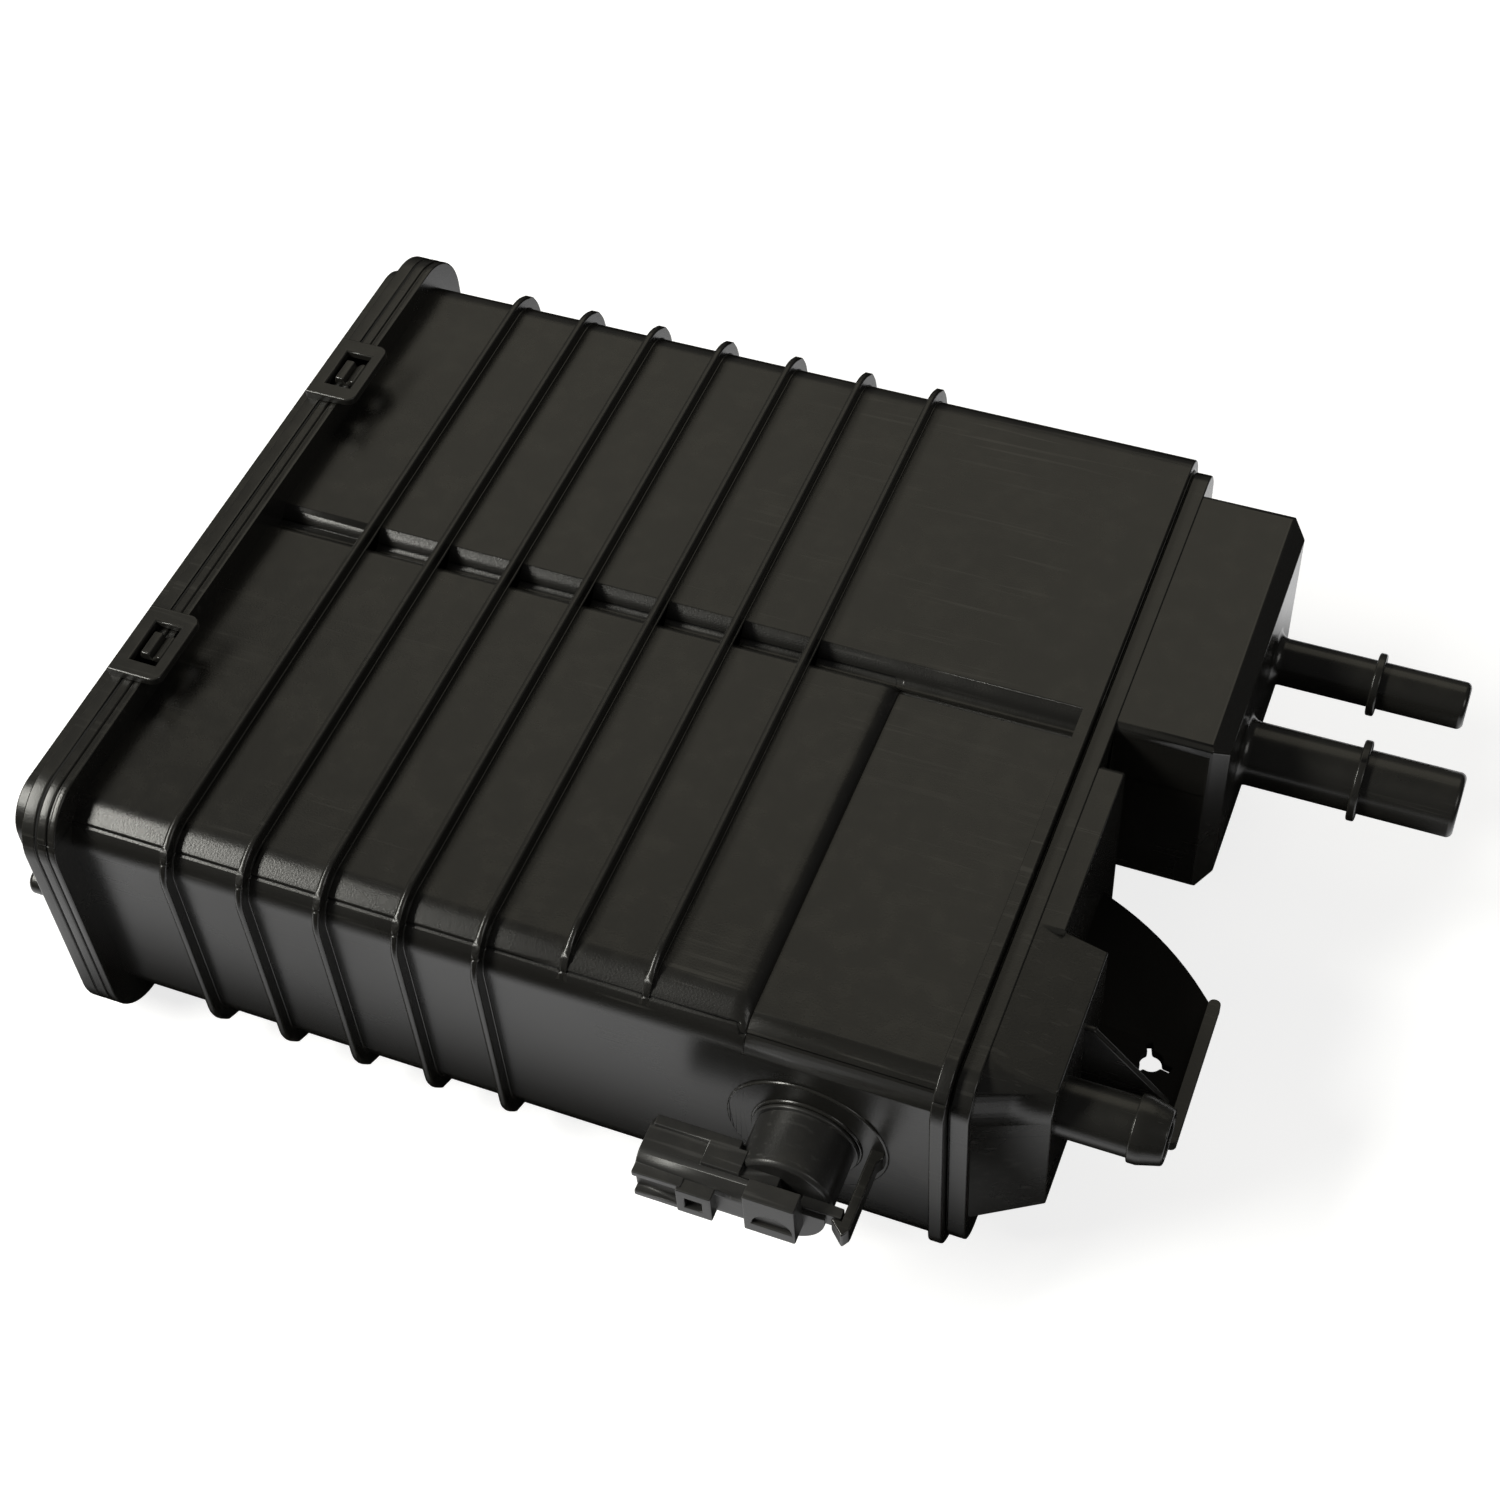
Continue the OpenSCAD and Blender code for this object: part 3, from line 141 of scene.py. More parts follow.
HOUSING_NYLON = Finish("housing_nylon", Family.MOULDED, (0.0135, 0.0130, 0.0117), 0.25,
                       scuffs=0.55, dust=0.10, edge_wear_and_highlight=0.6, parting=(31.4, 29.5))
COVER_NYLON = Finish("cover_nylon", Family.MOULDED, (0.0150, 0.0145, 0.0130), 0.30,
                     scuffs=0.40, dust=0.10, edge_wear_and_highlight=0.6)
PORT_NYLON = Finish("port_nylon", Family.MOULDED, (0.0150, 0.0145, 0.0130), 0.24,
                    grain_depth=0.05, scuffs=0.30, dust=0.08, edge_wear_and_highlight=0.4, parting=(15.0, 15.0))
# A darker, nearly unreflecting copy of the port cover's nylon for the bracket shelf: painted shade.
PAINTED_SHADE_SHELF_NYLON = Finish("painted_shade_shelf_nylon", Family.MOULDED, (0.0052, 0.0050, 0.0046), 0.45, scuffs=0.10, specular=0.06)
VALVE_NYLON = Finish("valve_nylon", Family.MOULDED, (0.021, 0.0206, 0.0198), 0.34,
                     grain_depth=0.06, scuffs=0.40, dust=0.12, edge_wear_and_highlight=0.3)
PLATE_NYLON = Finish("plate_nylon", Family.MOULDED, (0.20, 0.20, 0.19), 0.5, scuffs=0.2)
NOSE_NYLON = Finish("nose_nylon", Family.MOULDED, (0.10, 0.10, 0.10), 0.45, scuffs=0.2)
GASKET_RUBBER = Finish("gasket_rubber", Family.RUBBER, (0.008, 0.008, 0.008), 0.75, specular=0.3)
SEAL_RUBBER = Finish("seal_rubber", Family.RUBBER, (0.016, 0.016, 0.016), 0.68, specular=0.35)
BED_CARBON = Finish("bed_carbon", Family.GRANULES, (0.020, 0.020, 0.020), 0.85, grain_scale=420.0,
                    grain_depth=0.9, specular=0.35)
PAD_FELT = Finish("pad_felt", Family.FELT, (0.62, 0.60, 0.53), 0.92, grain_scale=900.0, grain_depth=0.5)
SPRING_STEEL = Finish("spring_steel", Family.METAL, (0.52, 0.52, 0.53), 0.30)
SOFT_IRON = Finish("soft_iron", Family.METAL, (0.48, 0.48, 0.49), 0.36)
COPPER_WIRE = Finish("copper_wire", Family.METAL, (0.60, 0.27, 0.12), 0.33)
BLADE_BRASS = Finish("blade_brass", Family.METAL, (0.66, 0.52, 0.27), 0.28)


class Links:
    """Small helper that adds and joins shader nodes in one tree."""

    def __init__(self, tree: bpy.types.NodeTree) -> None:
        """Keep the tree that nodes are added to."""
        self.tree = tree

    def node(self, kind: str, **values: object) -> bpy.types.Node:
        """Add a node and set its properties.

        Args:
            kind: Blender node type.
            values: properties of the node.

        Returns:
            The new node.
        """
        made = self.tree.nodes.new(kind)
        for key, value in values.items():
            setattr(made, key, value)
        return made

    def join(self, source: bpy.types.NodeSocket, target: bpy.types.NodeSocket) -> None:
        """Link an output to an input."""
        self.tree.links.new(source, target)

    def math(self, operation: str, a: object, b: object = None, clamp: bool = False) -> bpy.types.NodeSocket:
        """Add a Math node.

        Args:
            operation: its operation.
            a: first value or socket.
            b: second value or socket.
            clamp: keep the result between 0 and 1.

        Returns:
            The result socket.
        """
        made = self.node("ShaderNodeMath", operation=operation, use_clamp=clamp)
        for index, value in enumerate((a, b)):
            if value is None:
                continue
            if isinstance(value, (int, float)):
                made.inputs[index].default_value = value
            else:
                self.join(value, made.inputs[index])
        return made.outputs[0]

    def ramp(self, source: bpy.types.NodeSocket, low: float, high: float) -> bpy.types.NodeSocket:
        """Map a span of values to 0..1, smoothly.

        Args:
            source: value socket.
            low: value that becomes 0.
            high: value that becomes 1.

        Returns:
            The mapped socket.
        """
        made = self.node("ShaderNodeMapRange", interpolation_type="SMOOTHSTEP")
        self.join(source, made.inputs["Value"])
        made.inputs["From Min"].default_value = low
        made.inputs["From Max"].default_value = high
        return made.outputs["Result"]


class SurfaceGroups:
    """Shader node groups shared by the finishes, each made once.

    Attributes:
        SLOW_SCALE: cells per metre of the slow shade change.
        SCRATCH_SCALE: cells per metre along a scratch.
        SCRATCH_RUNS: turn and slenderness of each run of scratches.
        SCRATCH_SPAN: noise values between which a scratch shows.
        SMUDGE_SCALE: cells per metre of the smudges.
        SMUDGE_SPAN: noise values between which a smudge shows.
        DUST_SCALE: cells per metre of the dust.
        DUST_SPAN: noise values between which dust lies.
        DUST_UP: upward parts of the normal between which dust holds.
    """

    SLOW_SCALE: ClassVar[float] = 16.0
    SCRATCH_SCALE: ClassVar[float] = 22.0
    SCRATCH_RUNS: ClassVar[Tuple[Span, ...]] = ((0.55, 26.0), (-0.9, 34.0))
    SCRATCH_SPAN: ClassVar[Span] = (0.62, 0.72)
    SMUDGE_SCALE: ClassVar[float] = 11.0
    SMUDGE_SPAN: ClassVar[Span] = (0.45, 0.68)
    DUST_SCALE: ClassVar[float] = 160.0
    DUST_SPAN: ClassVar[Span] = (0.40, 0.74)
    DUST_UP: ClassVar[Span] = (0.55, 1.0)

    def __init__(self) -> None:
        """Start with no groups."""
        self._made: Dict[str, bpy.types.NodeTree] = {}

    def get(self, name: str) -> bpy.types.NodeTree:
        """The group of that name, made on first use."""
        if name not in self._made:
            self._made[name] = getattr(self, "_" + name)()
        return self._made[name]

    @staticmethod
    def _start(name: str, inputs: Sequence[Tuple[str, float]],
               outputs: Sequence[str]) -> Tuple[Links, bpy.types.Node, bpy.types.Node]:
        """Open a new group with float sockets.

        Args:
            name: group name.
            inputs: socket names with default values.
            outputs: socket names.

        Returns:
            The link helper, the group's input node and its output node.
        """
        tree = bpy.data.node_groups.new(name, "ShaderNodeTree")
        for label, value in inputs:
            socket = tree.interface.new_socket(name=label, in_out="INPUT", socket_type="NodeSocketFloat")
            socket.default_value = value
        for label in outputs:
            tree.interface.new_socket(name=label, in_out="OUTPUT", socket_type="NodeSocketFloat")
        links = Links(tree)
        return links, links.node("NodeGroupInput"), links.node("NodeGroupOutput")

    @staticmethod
    def _noise(links: Links, vector: bpy.types.NodeSocket, scale: float, detail: float) -> bpy.types.Node:
        """Add a noise texture.

        Args:
            links: the group's link helper.
            vector: coordinates.
            scale: cells per metre.
            detail: finer layers.

        Returns:
            The texture node.
        """
        made = links.node("ShaderNodeTexNoise")
        made.inputs["Scale"].default_value = scale
        made.inputs["Detail"].default_value = detail
        links.join(vector, made.inputs["Vector"])
        return made

    def _fine_grain(self) -> bpy.types.NodeTree:
        """Fine relief of a moulded or felted surface: height and a slow shade change."""
        links, start, end = self._start("fine_grain", [("Scale", 2000.0)], ["Height", "Shade"])
        coords = links.node("ShaderNodeTexCoord")
        fine = self._noise(links, coords.outputs["Object"], scale=1.0, detail=3.0)
        links.join(start.outputs["Scale"], fine.inputs["Scale"])
        slow = self._noise(links, coords.outputs["Object"], self.SLOW_SCALE, detail=4.0)
        links.join(fine.outputs["Fac"], end.inputs["Height"])
        links.join(slow.outputs["Fac"], end.inputs["Shade"])
        return links.tree

    def _handling(self) -> bpy.types.NodeTree:
        """Handling marks: thin scratches in two directions and broad smudges."""
        links, start, end = self._start("handling", [("Amount", 0.5)], ["Scratch", "Smudge"])
        coords = links.node("ShaderNodeTexCoord")
        masks = []
        for turn, slender in self.SCRATCH_RUNS:
            mapping = links.node("ShaderNodeMapping")
            across = self.SCRATCH_SCALE * slender
            mapping.inputs["Rotation"].default_value = (0.2, 0.1, turn)
            mapping.inputs["Scale"].default_value = (self.SCRATCH_SCALE, across, across)
            links.join(coords.outputs["Object"], mapping.inputs["Vector"])
            noise = self._noise(links, mapping.outputs["Vector"], scale=1.0, detail=2.0)
            masks.append(links.ramp(noise.outputs["Fac"], *self.SCRATCH_SPAN))
        patch = self._noise(links, coords.outputs["Object"], self.SMUDGE_SCALE, detail=3.0)
        where = links.ramp(patch.outputs["Fac"], *self.SMUDGE_SPAN)
        both = links.math("MAXIMUM", masks[0], masks[1])
        scratch = links.math("MULTIPLY", links.math("MULTIPLY", both, where), start.outputs["Amount"], True)
        links.join(scratch, end.inputs["Scratch"])
        links.join(links.math("MULTIPLY", where, start.outputs["Amount"], True), end.inputs["Smudge"])
        return links.tree

    def _parting_line(self) -> bpy.types.NodeTree:
        """Where the mould's halves meet: a thin line, painted near black as shade in the parting line's score."""
        links, start, end = self._start("parting_line", [("Height", 0.07), ("Turned", 0.07)], ["Line"])
        coords = links.node("ShaderNodeTexCoord")
        split = links.node("ShaderNodeSeparateXYZ")
        links.join(coords.outputs["Object"], split.inputs["Vector"])
        turn = place(PARTING_TURN_X, 0, 0).x
        passed = links.ramp(split.outputs["X"], turn - MM, turn + MM)
        rise = links.math("SUBTRACT", start.outputs["Turned"], start.outputs["Height"])
        level = links.math("ADD", start.outputs["Height"], links.math("MULTIPLY", rise, passed))
        above = links.math("SUBTRACT", split.outputs["Z"], level)
        off = links.ramp(links.math("ABSOLUTE", above), 0.4 * PARTING_LINE_W * MM, PARTING_LINE_W * MM)
        links.join(links.math("SUBTRACT", 1.0, off), end.inputs["Line"])
        return links.tree

    def _settled_dust(self) -> bpy.types.NodeTree:
        """Pale dust on upward faces, broken up by noise."""
        links, start, end = self._start("settled_dust", [("Amount", 0.3)], ["Mask"])
        geometry = links.node("ShaderNodeNewGeometry")
        split = links.node("ShaderNodeSeparateXYZ")
        links.join(geometry.outputs["Normal"], split.inputs["Vector"])
        up = links.ramp(split.outputs["Z"], *self.DUST_UP)
        coords = links.node("ShaderNodeTexCoord")
        cloud = self._noise(links, coords.outputs["Object"], self.DUST_SCALE, detail=7.0)
        spread = links.ramp(cloud.outputs["Fac"], *self.DUST_SPAN)
        links.join(links.math("MULTIPLY", links.math("MULTIPLY", up, spread), start.outputs["Amount"], True),
                   end.inputs["Mask"])
        return links.tree


class FinishShop:
    """Makes each finish's material once.

    Attributes:
        TONES: darkest and palest share of the base colour.
        ROUGH_DRIFT: how far the roughness drifts over the surface.
        SCRATCH_PALE: how many times paler a scratch is than the base colour.
        SCRATCH_ROUGH: roughness that a scratch adds.
        SMUDGE_ROUGH: roughness that a smudge adds.
        LINE_SHADE_COLOUR: colour of the parting line, near black: painted shade in its score.
        DUST_COLOUR: colour of the dust.
        DUST_ROUGH: roughness that dust adds.
        EDGE_WEAR_AND_HIGHLIGHT_PALE: how many times paler a rounded edge is, as rubbed wear and painted highlight.
        EDGE_GLOSS: roughness that a rounded edge loses.
        GRAIN_REACH: depth of the fine relief in metres.
        FELT_SHEEN: sheen of felt.
    """

    TONES: ClassVar[Span] = (0.82, 1.18)
    ROUGH_DRIFT: ClassVar[float] = 0.12
    SCRATCH_PALE: ClassVar[float] = 4.2
    SCRATCH_ROUGH: ClassVar[float] = 0.15
    SMUDGE_ROUGH: ClassVar[float] = 0.10
    # Near black painted along the parting line: painted shade.
    LINE_SHADE_COLOUR: ClassVar[Colour] = (0.001, 0.001, 0.001)
    DUST_COLOUR: ClassVar[Colour] = (0.072, 0.068, 0.056)
    DUST_ROUGH: ClassVar[float] = 0.25
    EDGE_WEAR_AND_HIGHLIGHT_PALE: ClassVar[float] = 1.9
    EDGE_GLOSS: ClassVar[float] = 0.12
    GRAIN_REACH: ClassVar[float] = 0.0004
    FELT_SHEEN: ClassVar[float] = 0.35

    def __init__(self) -> None:
        """Start with the shared groups and no materials."""
        self.groups = SurfaceGroups()
        self._made: Dict[str, bpy.types.Material] = {}

    def material(self, finish: Finish) -> bpy.types.Material:
        """The material of a finish, made on first use."""
        if finish.name not in self._made:
            self._made[finish.name] = self._build(finish)
        return self._made[finish.name]

    def _group(self, links: Links, name: str, **values: float) -> bpy.types.Node:
        """Place a shared group in a material.

        Args:
            links: the material's link helper.
            name: group name.
            values: input values.

        Returns:
            The group node.
        """
        made = links.node("ShaderNodeGroup", node_tree=self.groups.get(name))
        for key, value in values.items():
            made.inputs[key].default_value = value
        return made

    def _build(self, finish: Finish) -> bpy.types.Material:
        """Build a finish's node tree.

        Args:
            finish: what the surface is.

        Returns:
            The new material.
        """
        made = bpy.data.materials.new(finish.name)
        made.use_nodes = True
        links = Links(made.node_tree)
        shader = made.node_tree.nodes["Principled BSDF"]
        grain = self._group(links, "fine_grain", Scale=finish.grain_scale)
        colour = self._toned(links, finish, grain.outputs["Shade"])
        drift = links.math("MULTIPLY", grain.outputs["Shade"], self.ROUGH_DRIFT)
        rough = links.math("ADD", finish.roughness - self.ROUGH_DRIFT / 2, drift)
        if finish.scuffs > 0:
            marks = self._group(links, "handling", Amount=finish.scuffs)
            pale = self._paler(finish.colour, self.SCRATCH_PALE)
            colour = self._blend(links, colour, marks.outputs["Scratch"], pale)
            for output, added in (("Smudge", self.SMUDGE_ROUGH), ("Scratch", self.SCRATCH_ROUGH)):
                rough = links.math("ADD", rough, links.math("MULTIPLY", marks.outputs[output], added))
        if finish.parting is not None:
            before, after = ((z + HOUSING_ORIGIN[2]) * MM for z in finish.parting)
            halves = self._group(links, "parting_line", Height=before, Turned=after)
            # The parting line's score is painted near black: painted shade in the crease.
            colour = self._blend(links, colour, halves.outputs["Line"], self.LINE_SHADE_COLOUR)
        if finish.dust > 0:
            dust = self._group(links, "settled_dust", Amount=finish.dust)
            colour = self._blend(links, colour, dust.outputs["Mask"], self.DUST_COLOUR)
            rough = links.math("ADD", rough, links.math("MULTIPLY", dust.outputs["Mask"], self.DUST_ROUGH), True)
        # Rounded edges are painted paler and glossier: rubbed wear and painted highlight.
        if finish.edge_wear_and_highlight > 0:
            edge = links.node("ShaderNodeAttribute", attribute_name=ROUNDED_LAYER)
            mask = links.math("MULTIPLY", edge.outputs["Fac"], finish.edge_wear_and_highlight)
            colour = self._blend(links, colour, mask, self._paler(finish.colour, self.EDGE_WEAR_AND_HIGHLIGHT_PALE))
            rough = links.math("SUBTRACT", rough, links.math("MULTIPLY", mask, self.EDGE_GLOSS))
        links.join(colour, shader.inputs["Base Color"])
        links.join(rough, shader.inputs["Roughness"])
        bump = links.node("ShaderNodeBump")
        bump.inputs["Strength"].default_value = finish.grain_depth
        bump.inputs["Distance"].default_value = self.GRAIN_REACH
        links.join(grain.outputs["Height"], bump.inputs["Height"])
        links.join(bump.outputs["Normal"], shader.inputs["Normal"])
        if finish.family is Family.METAL:
            shader.inputs["Metallic"].default_value = 1.0
        if finish.family is Family.FELT:
            shader.inputs["Sheen Weight"].default_value = self.FELT_SHEEN
        shader.inputs["Specular IOR Level"].default_value = finish.specular
        return made

    @staticmethod
    def _paler(colour: Colour, times: float) -> Colour:
        """A colour that many times as bright, at most white."""
        return tuple(min(1.0, times * c) for c in colour)

    @staticmethod
    def _blend(links: Links, base: bpy.types.NodeSocket, mask: bpy.types.NodeSocket,
               over: Colour) -> bpy.types.NodeSocket:
        """Mix a colour over another by a mask.

        Args:
            links: the material's link helper.
            base: colour socket below.
            mask: value socket.
            over: colour on top.

        Returns:
            The mixed colour socket.
        """
        mix = links.node("ShaderNodeMix", data_type="RGBA")
        links.join(mask, mix.inputs["Factor"])
        links.join(base, mix.inputs["A"])
        mix.inputs["B"].default_value = (*over, 1.0)
        return mix.outputs["Result"]

    def _toned(self, links: Links, finish: Finish, shade: bpy.types.NodeSocket) -> bpy.types.NodeSocket:
        """Base colour that drifts slowly over the surface.

        Args:
            links: the material's link helper.
            finish: gives the mean colour.
            shade: slow noise.

        Returns:
            The colour socket.
        """
        mix = links.node("ShaderNodeMix", data_type="RGBA")
        links.join(shade, mix.inputs["Factor"])
        for socket, tone in zip("AB", self.TONES):
            mix.inputs[socket].default_value = (*self._paler(finish.colour, tone), 1.0)
        return mix.outputs["Result"]


def own_mesh(mesh: bpy.types.Mesh, *materials: bpy.types.Material) -> None:
    """Give a mesh its materials.

    Args:
        mesh: the mesh.
        materials: what its faces are made of, in the order of their indices.
    """
    mesh.materials.clear()
    for material in materials:
        mesh.materials.append(material)


@dataclass
class Moulding:
    """A visible CAD moulding whose edges are rounded.

    Attributes:
        node: CAD node name.
        body: body it rides on.
        slot: material slot of the record; not used.
        finish: its finish.
        edge: rounding of its edges in millimetres.
        steps: segments of the rounding.
        sharp: smallest angle between faces that counts as an edge, in degrees.
        shortest: edges shorter than this many millimetres stay as they are.
        smallest: edges beside a face of fewer square millimetres stay as they are.
        weld: points closer than this many millimetres are joined.
        flat: faces that meet at fewer degrees are joined.
        crease: faces that meet at more degrees are shaded apart.
        panel_weight: how far large faces set the shading.
    """

    node: str
    body: str
    slot: str
    finish: Finish
    edge: float = 0.45
    steps: int = 2
    sharp: float = 32.0
    shortest: float = 0.3
    smallest: float = 0.12
    weld: float = 0.002
    flat: float = 0.6
    crease: float = 38.0
    panel_weight: int = 60

    def build(self, shop: FinishShop) -> bpy.types.Object:
        """Round the node's edges in a copy that stands for it.

        Args:
            shop: gives the material.

        Returns:
            The new piece.
        """
        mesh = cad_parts[self.node].data.copy()
        mesh.name = self.node + "_shell"
        own_mesh(mesh, *(shop.material(finish) for finish in self.finishes()))
        bm = bmesh.new()
        bm.from_mesh(mesh)
        bmesh.ops.remove_doubles(bm, verts=bm.verts, dist=self.weld * MM)
        bmesh.ops.dissolve_limit(bm, angle_limit=math.radians(self.flat), verts=bm.verts, edges=bm.edges)
        self.shape(bm)
        bm.faces.layers.float.new(ROUNDED_LAYER)
        for width in self.widths():
            self._round(bm, width, bm.faces.layers.float[ROUNDED_LAYER])
            # Written out and read back, the faces lie in the same order in every run.
            bm.to_mesh(mesh)
            bm.clear()
            bm.from_mesh(mesh)
        self.score(bm)
        for face in bm.faces:
            face.smooth = True
            face.material_index = self.zone(face)
        bm.to_mesh(mesh)
        bm.free()
        piece = bpy.data.objects.new(self.node + "_shell", mesh)
        bpy.context.scene.collection.objects.link(piece)
        mesh.set_sharp_from_angle(angle=math.radians(self.crease))
        weigh = piece.modifiers.new("flat_panels", "WEIGHTED_NORMAL")
        weigh.keep_sharp = True
        weigh.weight = self.panel_weight
        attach(piece, self.body)
        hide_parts(self.node)
        return piece

    def shape(self, bm: bmesh.types.BMesh) -> None:
        """Change the copy before its edges are rounded; a plain moulding stays as it is."""

    def score(self, bm: bmesh.types.BMesh) -> None:
        """Cut fine lines after the edges are rounded; a plain moulding has none."""

    def finishes(self) -> Tuple[Finish, ...]:
        """Every finish the moulding has, in the order of its zones."""
        return (self.finish,)

    def zone(self, face: bmesh.types.BMFace) -> int:
        """Which of its finishes a face gets."""
        return 0

    def widths(self) -> Tuple[float, ...]:
        """Every rounding the moulding has, widest first."""
        return (self.edge,)

    def width_of(self, edge: bmesh.types.BMEdge) -> float:
        """Rounding that an outer edge gets."""
        return self.edge

    def _round(self, bm: bmesh.types.BMesh, width: float, layer: bmesh.types.BMLayerItem) -> None:
        """Round all edges that get one width and mark the new faces.

        Args:
            bm: the mesh.
            width: rounding in millimetres.
            layer: face layer that marks rounded edges.
        """
        bm.normal_update()
        edges = [e for e in bm.edges if self._is_edge(e, layer) and self.width_of(e) == width]
        done = bmesh.ops.bevel(bm, geom=edges, offset=width * MM, offset_type="OFFSET", segments=self.steps,
                               profile=0.5, affect="EDGES", clamp_overlap=False, loop_slide=True)
        for face in done["faces"]:
            if face.is_valid:
                face[layer] = 1.0

    def _is_edge(self, edge: bmesh.types.BMEdge, layer: bmesh.types.BMLayerItem) -> bool:
        """Whether an edge is rounded: an outer edge between two plain faces of some size.

        Args:
            edge: the edge.
            layer: face layer that marks rounded edges.

        Returns:
            True for an edge to round.
        """
        if len(edge.link_faces) != 2 or not edge.is_convex:
            return False
        if edge.calc_length() < self.shortest * MM:
            return False
        if any(f[layer] > 0 or f.calc_area() < self.smallest * MM * MM for f in edge.link_faces):
            return False
        return edge.calc_face_angle(0.0) > math.radians(self.sharp)


@dataclass
class RibbedHousing(Moulding):
    """The housing: rounded rib crests and a soft slope at the step of its near panel.

    Attributes:
        length: length of the body in millimetres, like all sizes below.
        ribs: span of the ribs along the body.
        first_rib: middle of the first rib.
        rib_pitch: distance from rib to rib.
        rib_count: number of ribs.
        rib_clear: distance from a rib's middle to the cuts beside it.
        near_side: plain near side panel.
        far_side: plain far side panel.
        top: plain top and bottom panels, from half height.
        proud: edges that stand out more than this belong to the ribs.
        crest: rounding of the rib crests.
        step_x: foot of the step.
        step_depth: how far the panel steps down.
        step_r: radius of the slope.
        slope_cuts: facets of the slope.
        step_left: upright rest of the step at its foot.
        corner: rounding of the body's long edges.
        groove_floor: place and height of the middle of the groove's round floor.
        groove_r: radii of the groove's near edge and of its floor.
        score_half: half the width of the parting line's score.
        score_depth: its depth.
        score_side: the score runs on faces nearer than this.
        on_end: how close a point lies to an end that it belongs to.
        on_panel: how close it lies to a panel that it belongs to.
        on_arc: how close it lies to an arc that it belongs to.
        on_score: how close it lies to the bottom of the score.
    """

    length: float = 216.2
    ribs: Span = (25.0, 155.0)
    first_rib: float = 30.5
    rib_pitch: float = 19.5
    rib_count: int = 7
    rib_clear: float = 1.9
    near_side: float = -99.1
    far_side: float = 101.5
    top: float = 34.4
    proud: float = 0.6
    crest: float = 0.7
    step_x: float = 170.8
    step_depth: float = 2.8
    step_r: float = 5.0
    slope_cuts: int = 8
    step_left: float = 0.06
    corner: float = 10.0
    groove_floor: Span = (4.4, 32.5)
    groove_r: Span = (3.0, 2.0)
    score_half: float = 0.3
    score_depth: float = 0.35
    score_side: float = -95.0
    on_end: float = 0.01
    on_panel: float = 0.02
    on_arc: float = 0.05
    on_score: float = 0.005

    def widths(self) -> Tuple[float, ...]:
        """Rib crests first, then the other edges."""
        return (self.crest, self.edge)

    def width_of(self, edge: bmesh.types.BMEdge) -> float:
        """Crest rounding for an edge that stands out beyond the panels in the ribbed span."""
        x, y, z = in_housing((edge.verts[0].co + edge.verts[1].co) / 2)
        outside = (abs(z) > self.top + self.proud or y < self.near_side - self.proud
                   or y > self.far_side + self.proud)
        return self.crest if outside and self.ribs[0] < x < self.ribs[1] else self.edge

    def shape(self, bm: bmesh.types.BMesh) -> None:
        """Ease the upright step of the near panel into a rounded slope."""
        run = math.sqrt(self.step_depth * (2 * self.step_r - self.step_depth))
        start = self.step_x - run
        for cut in range(self.slope_cuts):
            bmesh.ops.bisect_plane(bm, geom=[*bm.verts, *bm.edges, *bm.faces], dist=CUT_REACH,
                                   plane_co=place(start + run * cut / self.slope_cuts, 0, 0), plane_no=(1, 0, 0))
        for vert in bm.verts:
            x, y, z = in_housing(vert.co)
            if start < x < self.step_x + self.on_end:
                drop = self.step_r - math.sqrt(max(0.0, self.step_r ** 2 - (x - start) ** 2))
                eased = self._eased(y, z, min(drop, self.step_depth - self.step_left))
                if eased is not None:
                    vert.co = place(x, *eased)

    def score(self, bm: bmesh.types.BMesh) -> None:
        """Cut the near rounding beside each rib and score the parting line, lower beyond its turn."""
        for index in range(self.rib_count):
            for side in (-1, 1):
                at = self.first_rib + index * self.rib_pitch + side * self.rib_clear
                self._cut(bm, place(at, 0, 0), (1, 0, 0), (0.0, self.length))
        before, after = self.finish.parting
        inward = Vector((0.0, 1.0, -1.0)).normalized() * self.score_depth * MM
        for height, low, high in ((before, 0.0, PARTING_TURN_X), (after, PARTING_TURN_X, self.length)):
            for level in (height - self.score_half, height, height + self.score_half):
                self._cut(bm, place(0, 0, level), (0, 0, 1), (low, high))
            for vert in bm.verts:
                x, y, z = in_housing(vert.co)
                if low < x < high and y < self.score_side and abs(z - height) < self.on_score:
                    vert.co += inward

    def _cut(self, bm: bmesh.types.BMesh, spot: Vector, normal: Point, span: Span) -> None:
        """Cut the faces of the near side along a plane.

        Args:
            bm: the mesh.
            spot: a point of the plane.
            normal: its normal.
            span: part of the body's length that is cut, in millimetres.
        """
        faces = []
        for face in bm.faces:
            x, y, _ = in_housing(face.calc_center_median())
            if span[0] < x < span[1] and y < self.near_side + self.corner:
                faces.append(face)
        # Dictionary keys keep the mesh's own order, so each run cuts it in the same order.
        edges = dict.fromkeys(e for f in faces for e in f.edges)
        verts = dict.fromkeys(v for f in faces for v in f.verts)
        bmesh.ops.bisect_plane(bm, geom=[*verts, *edges, *faces], dist=CUT_REACH, plane_co=spot, plane_no=normal)

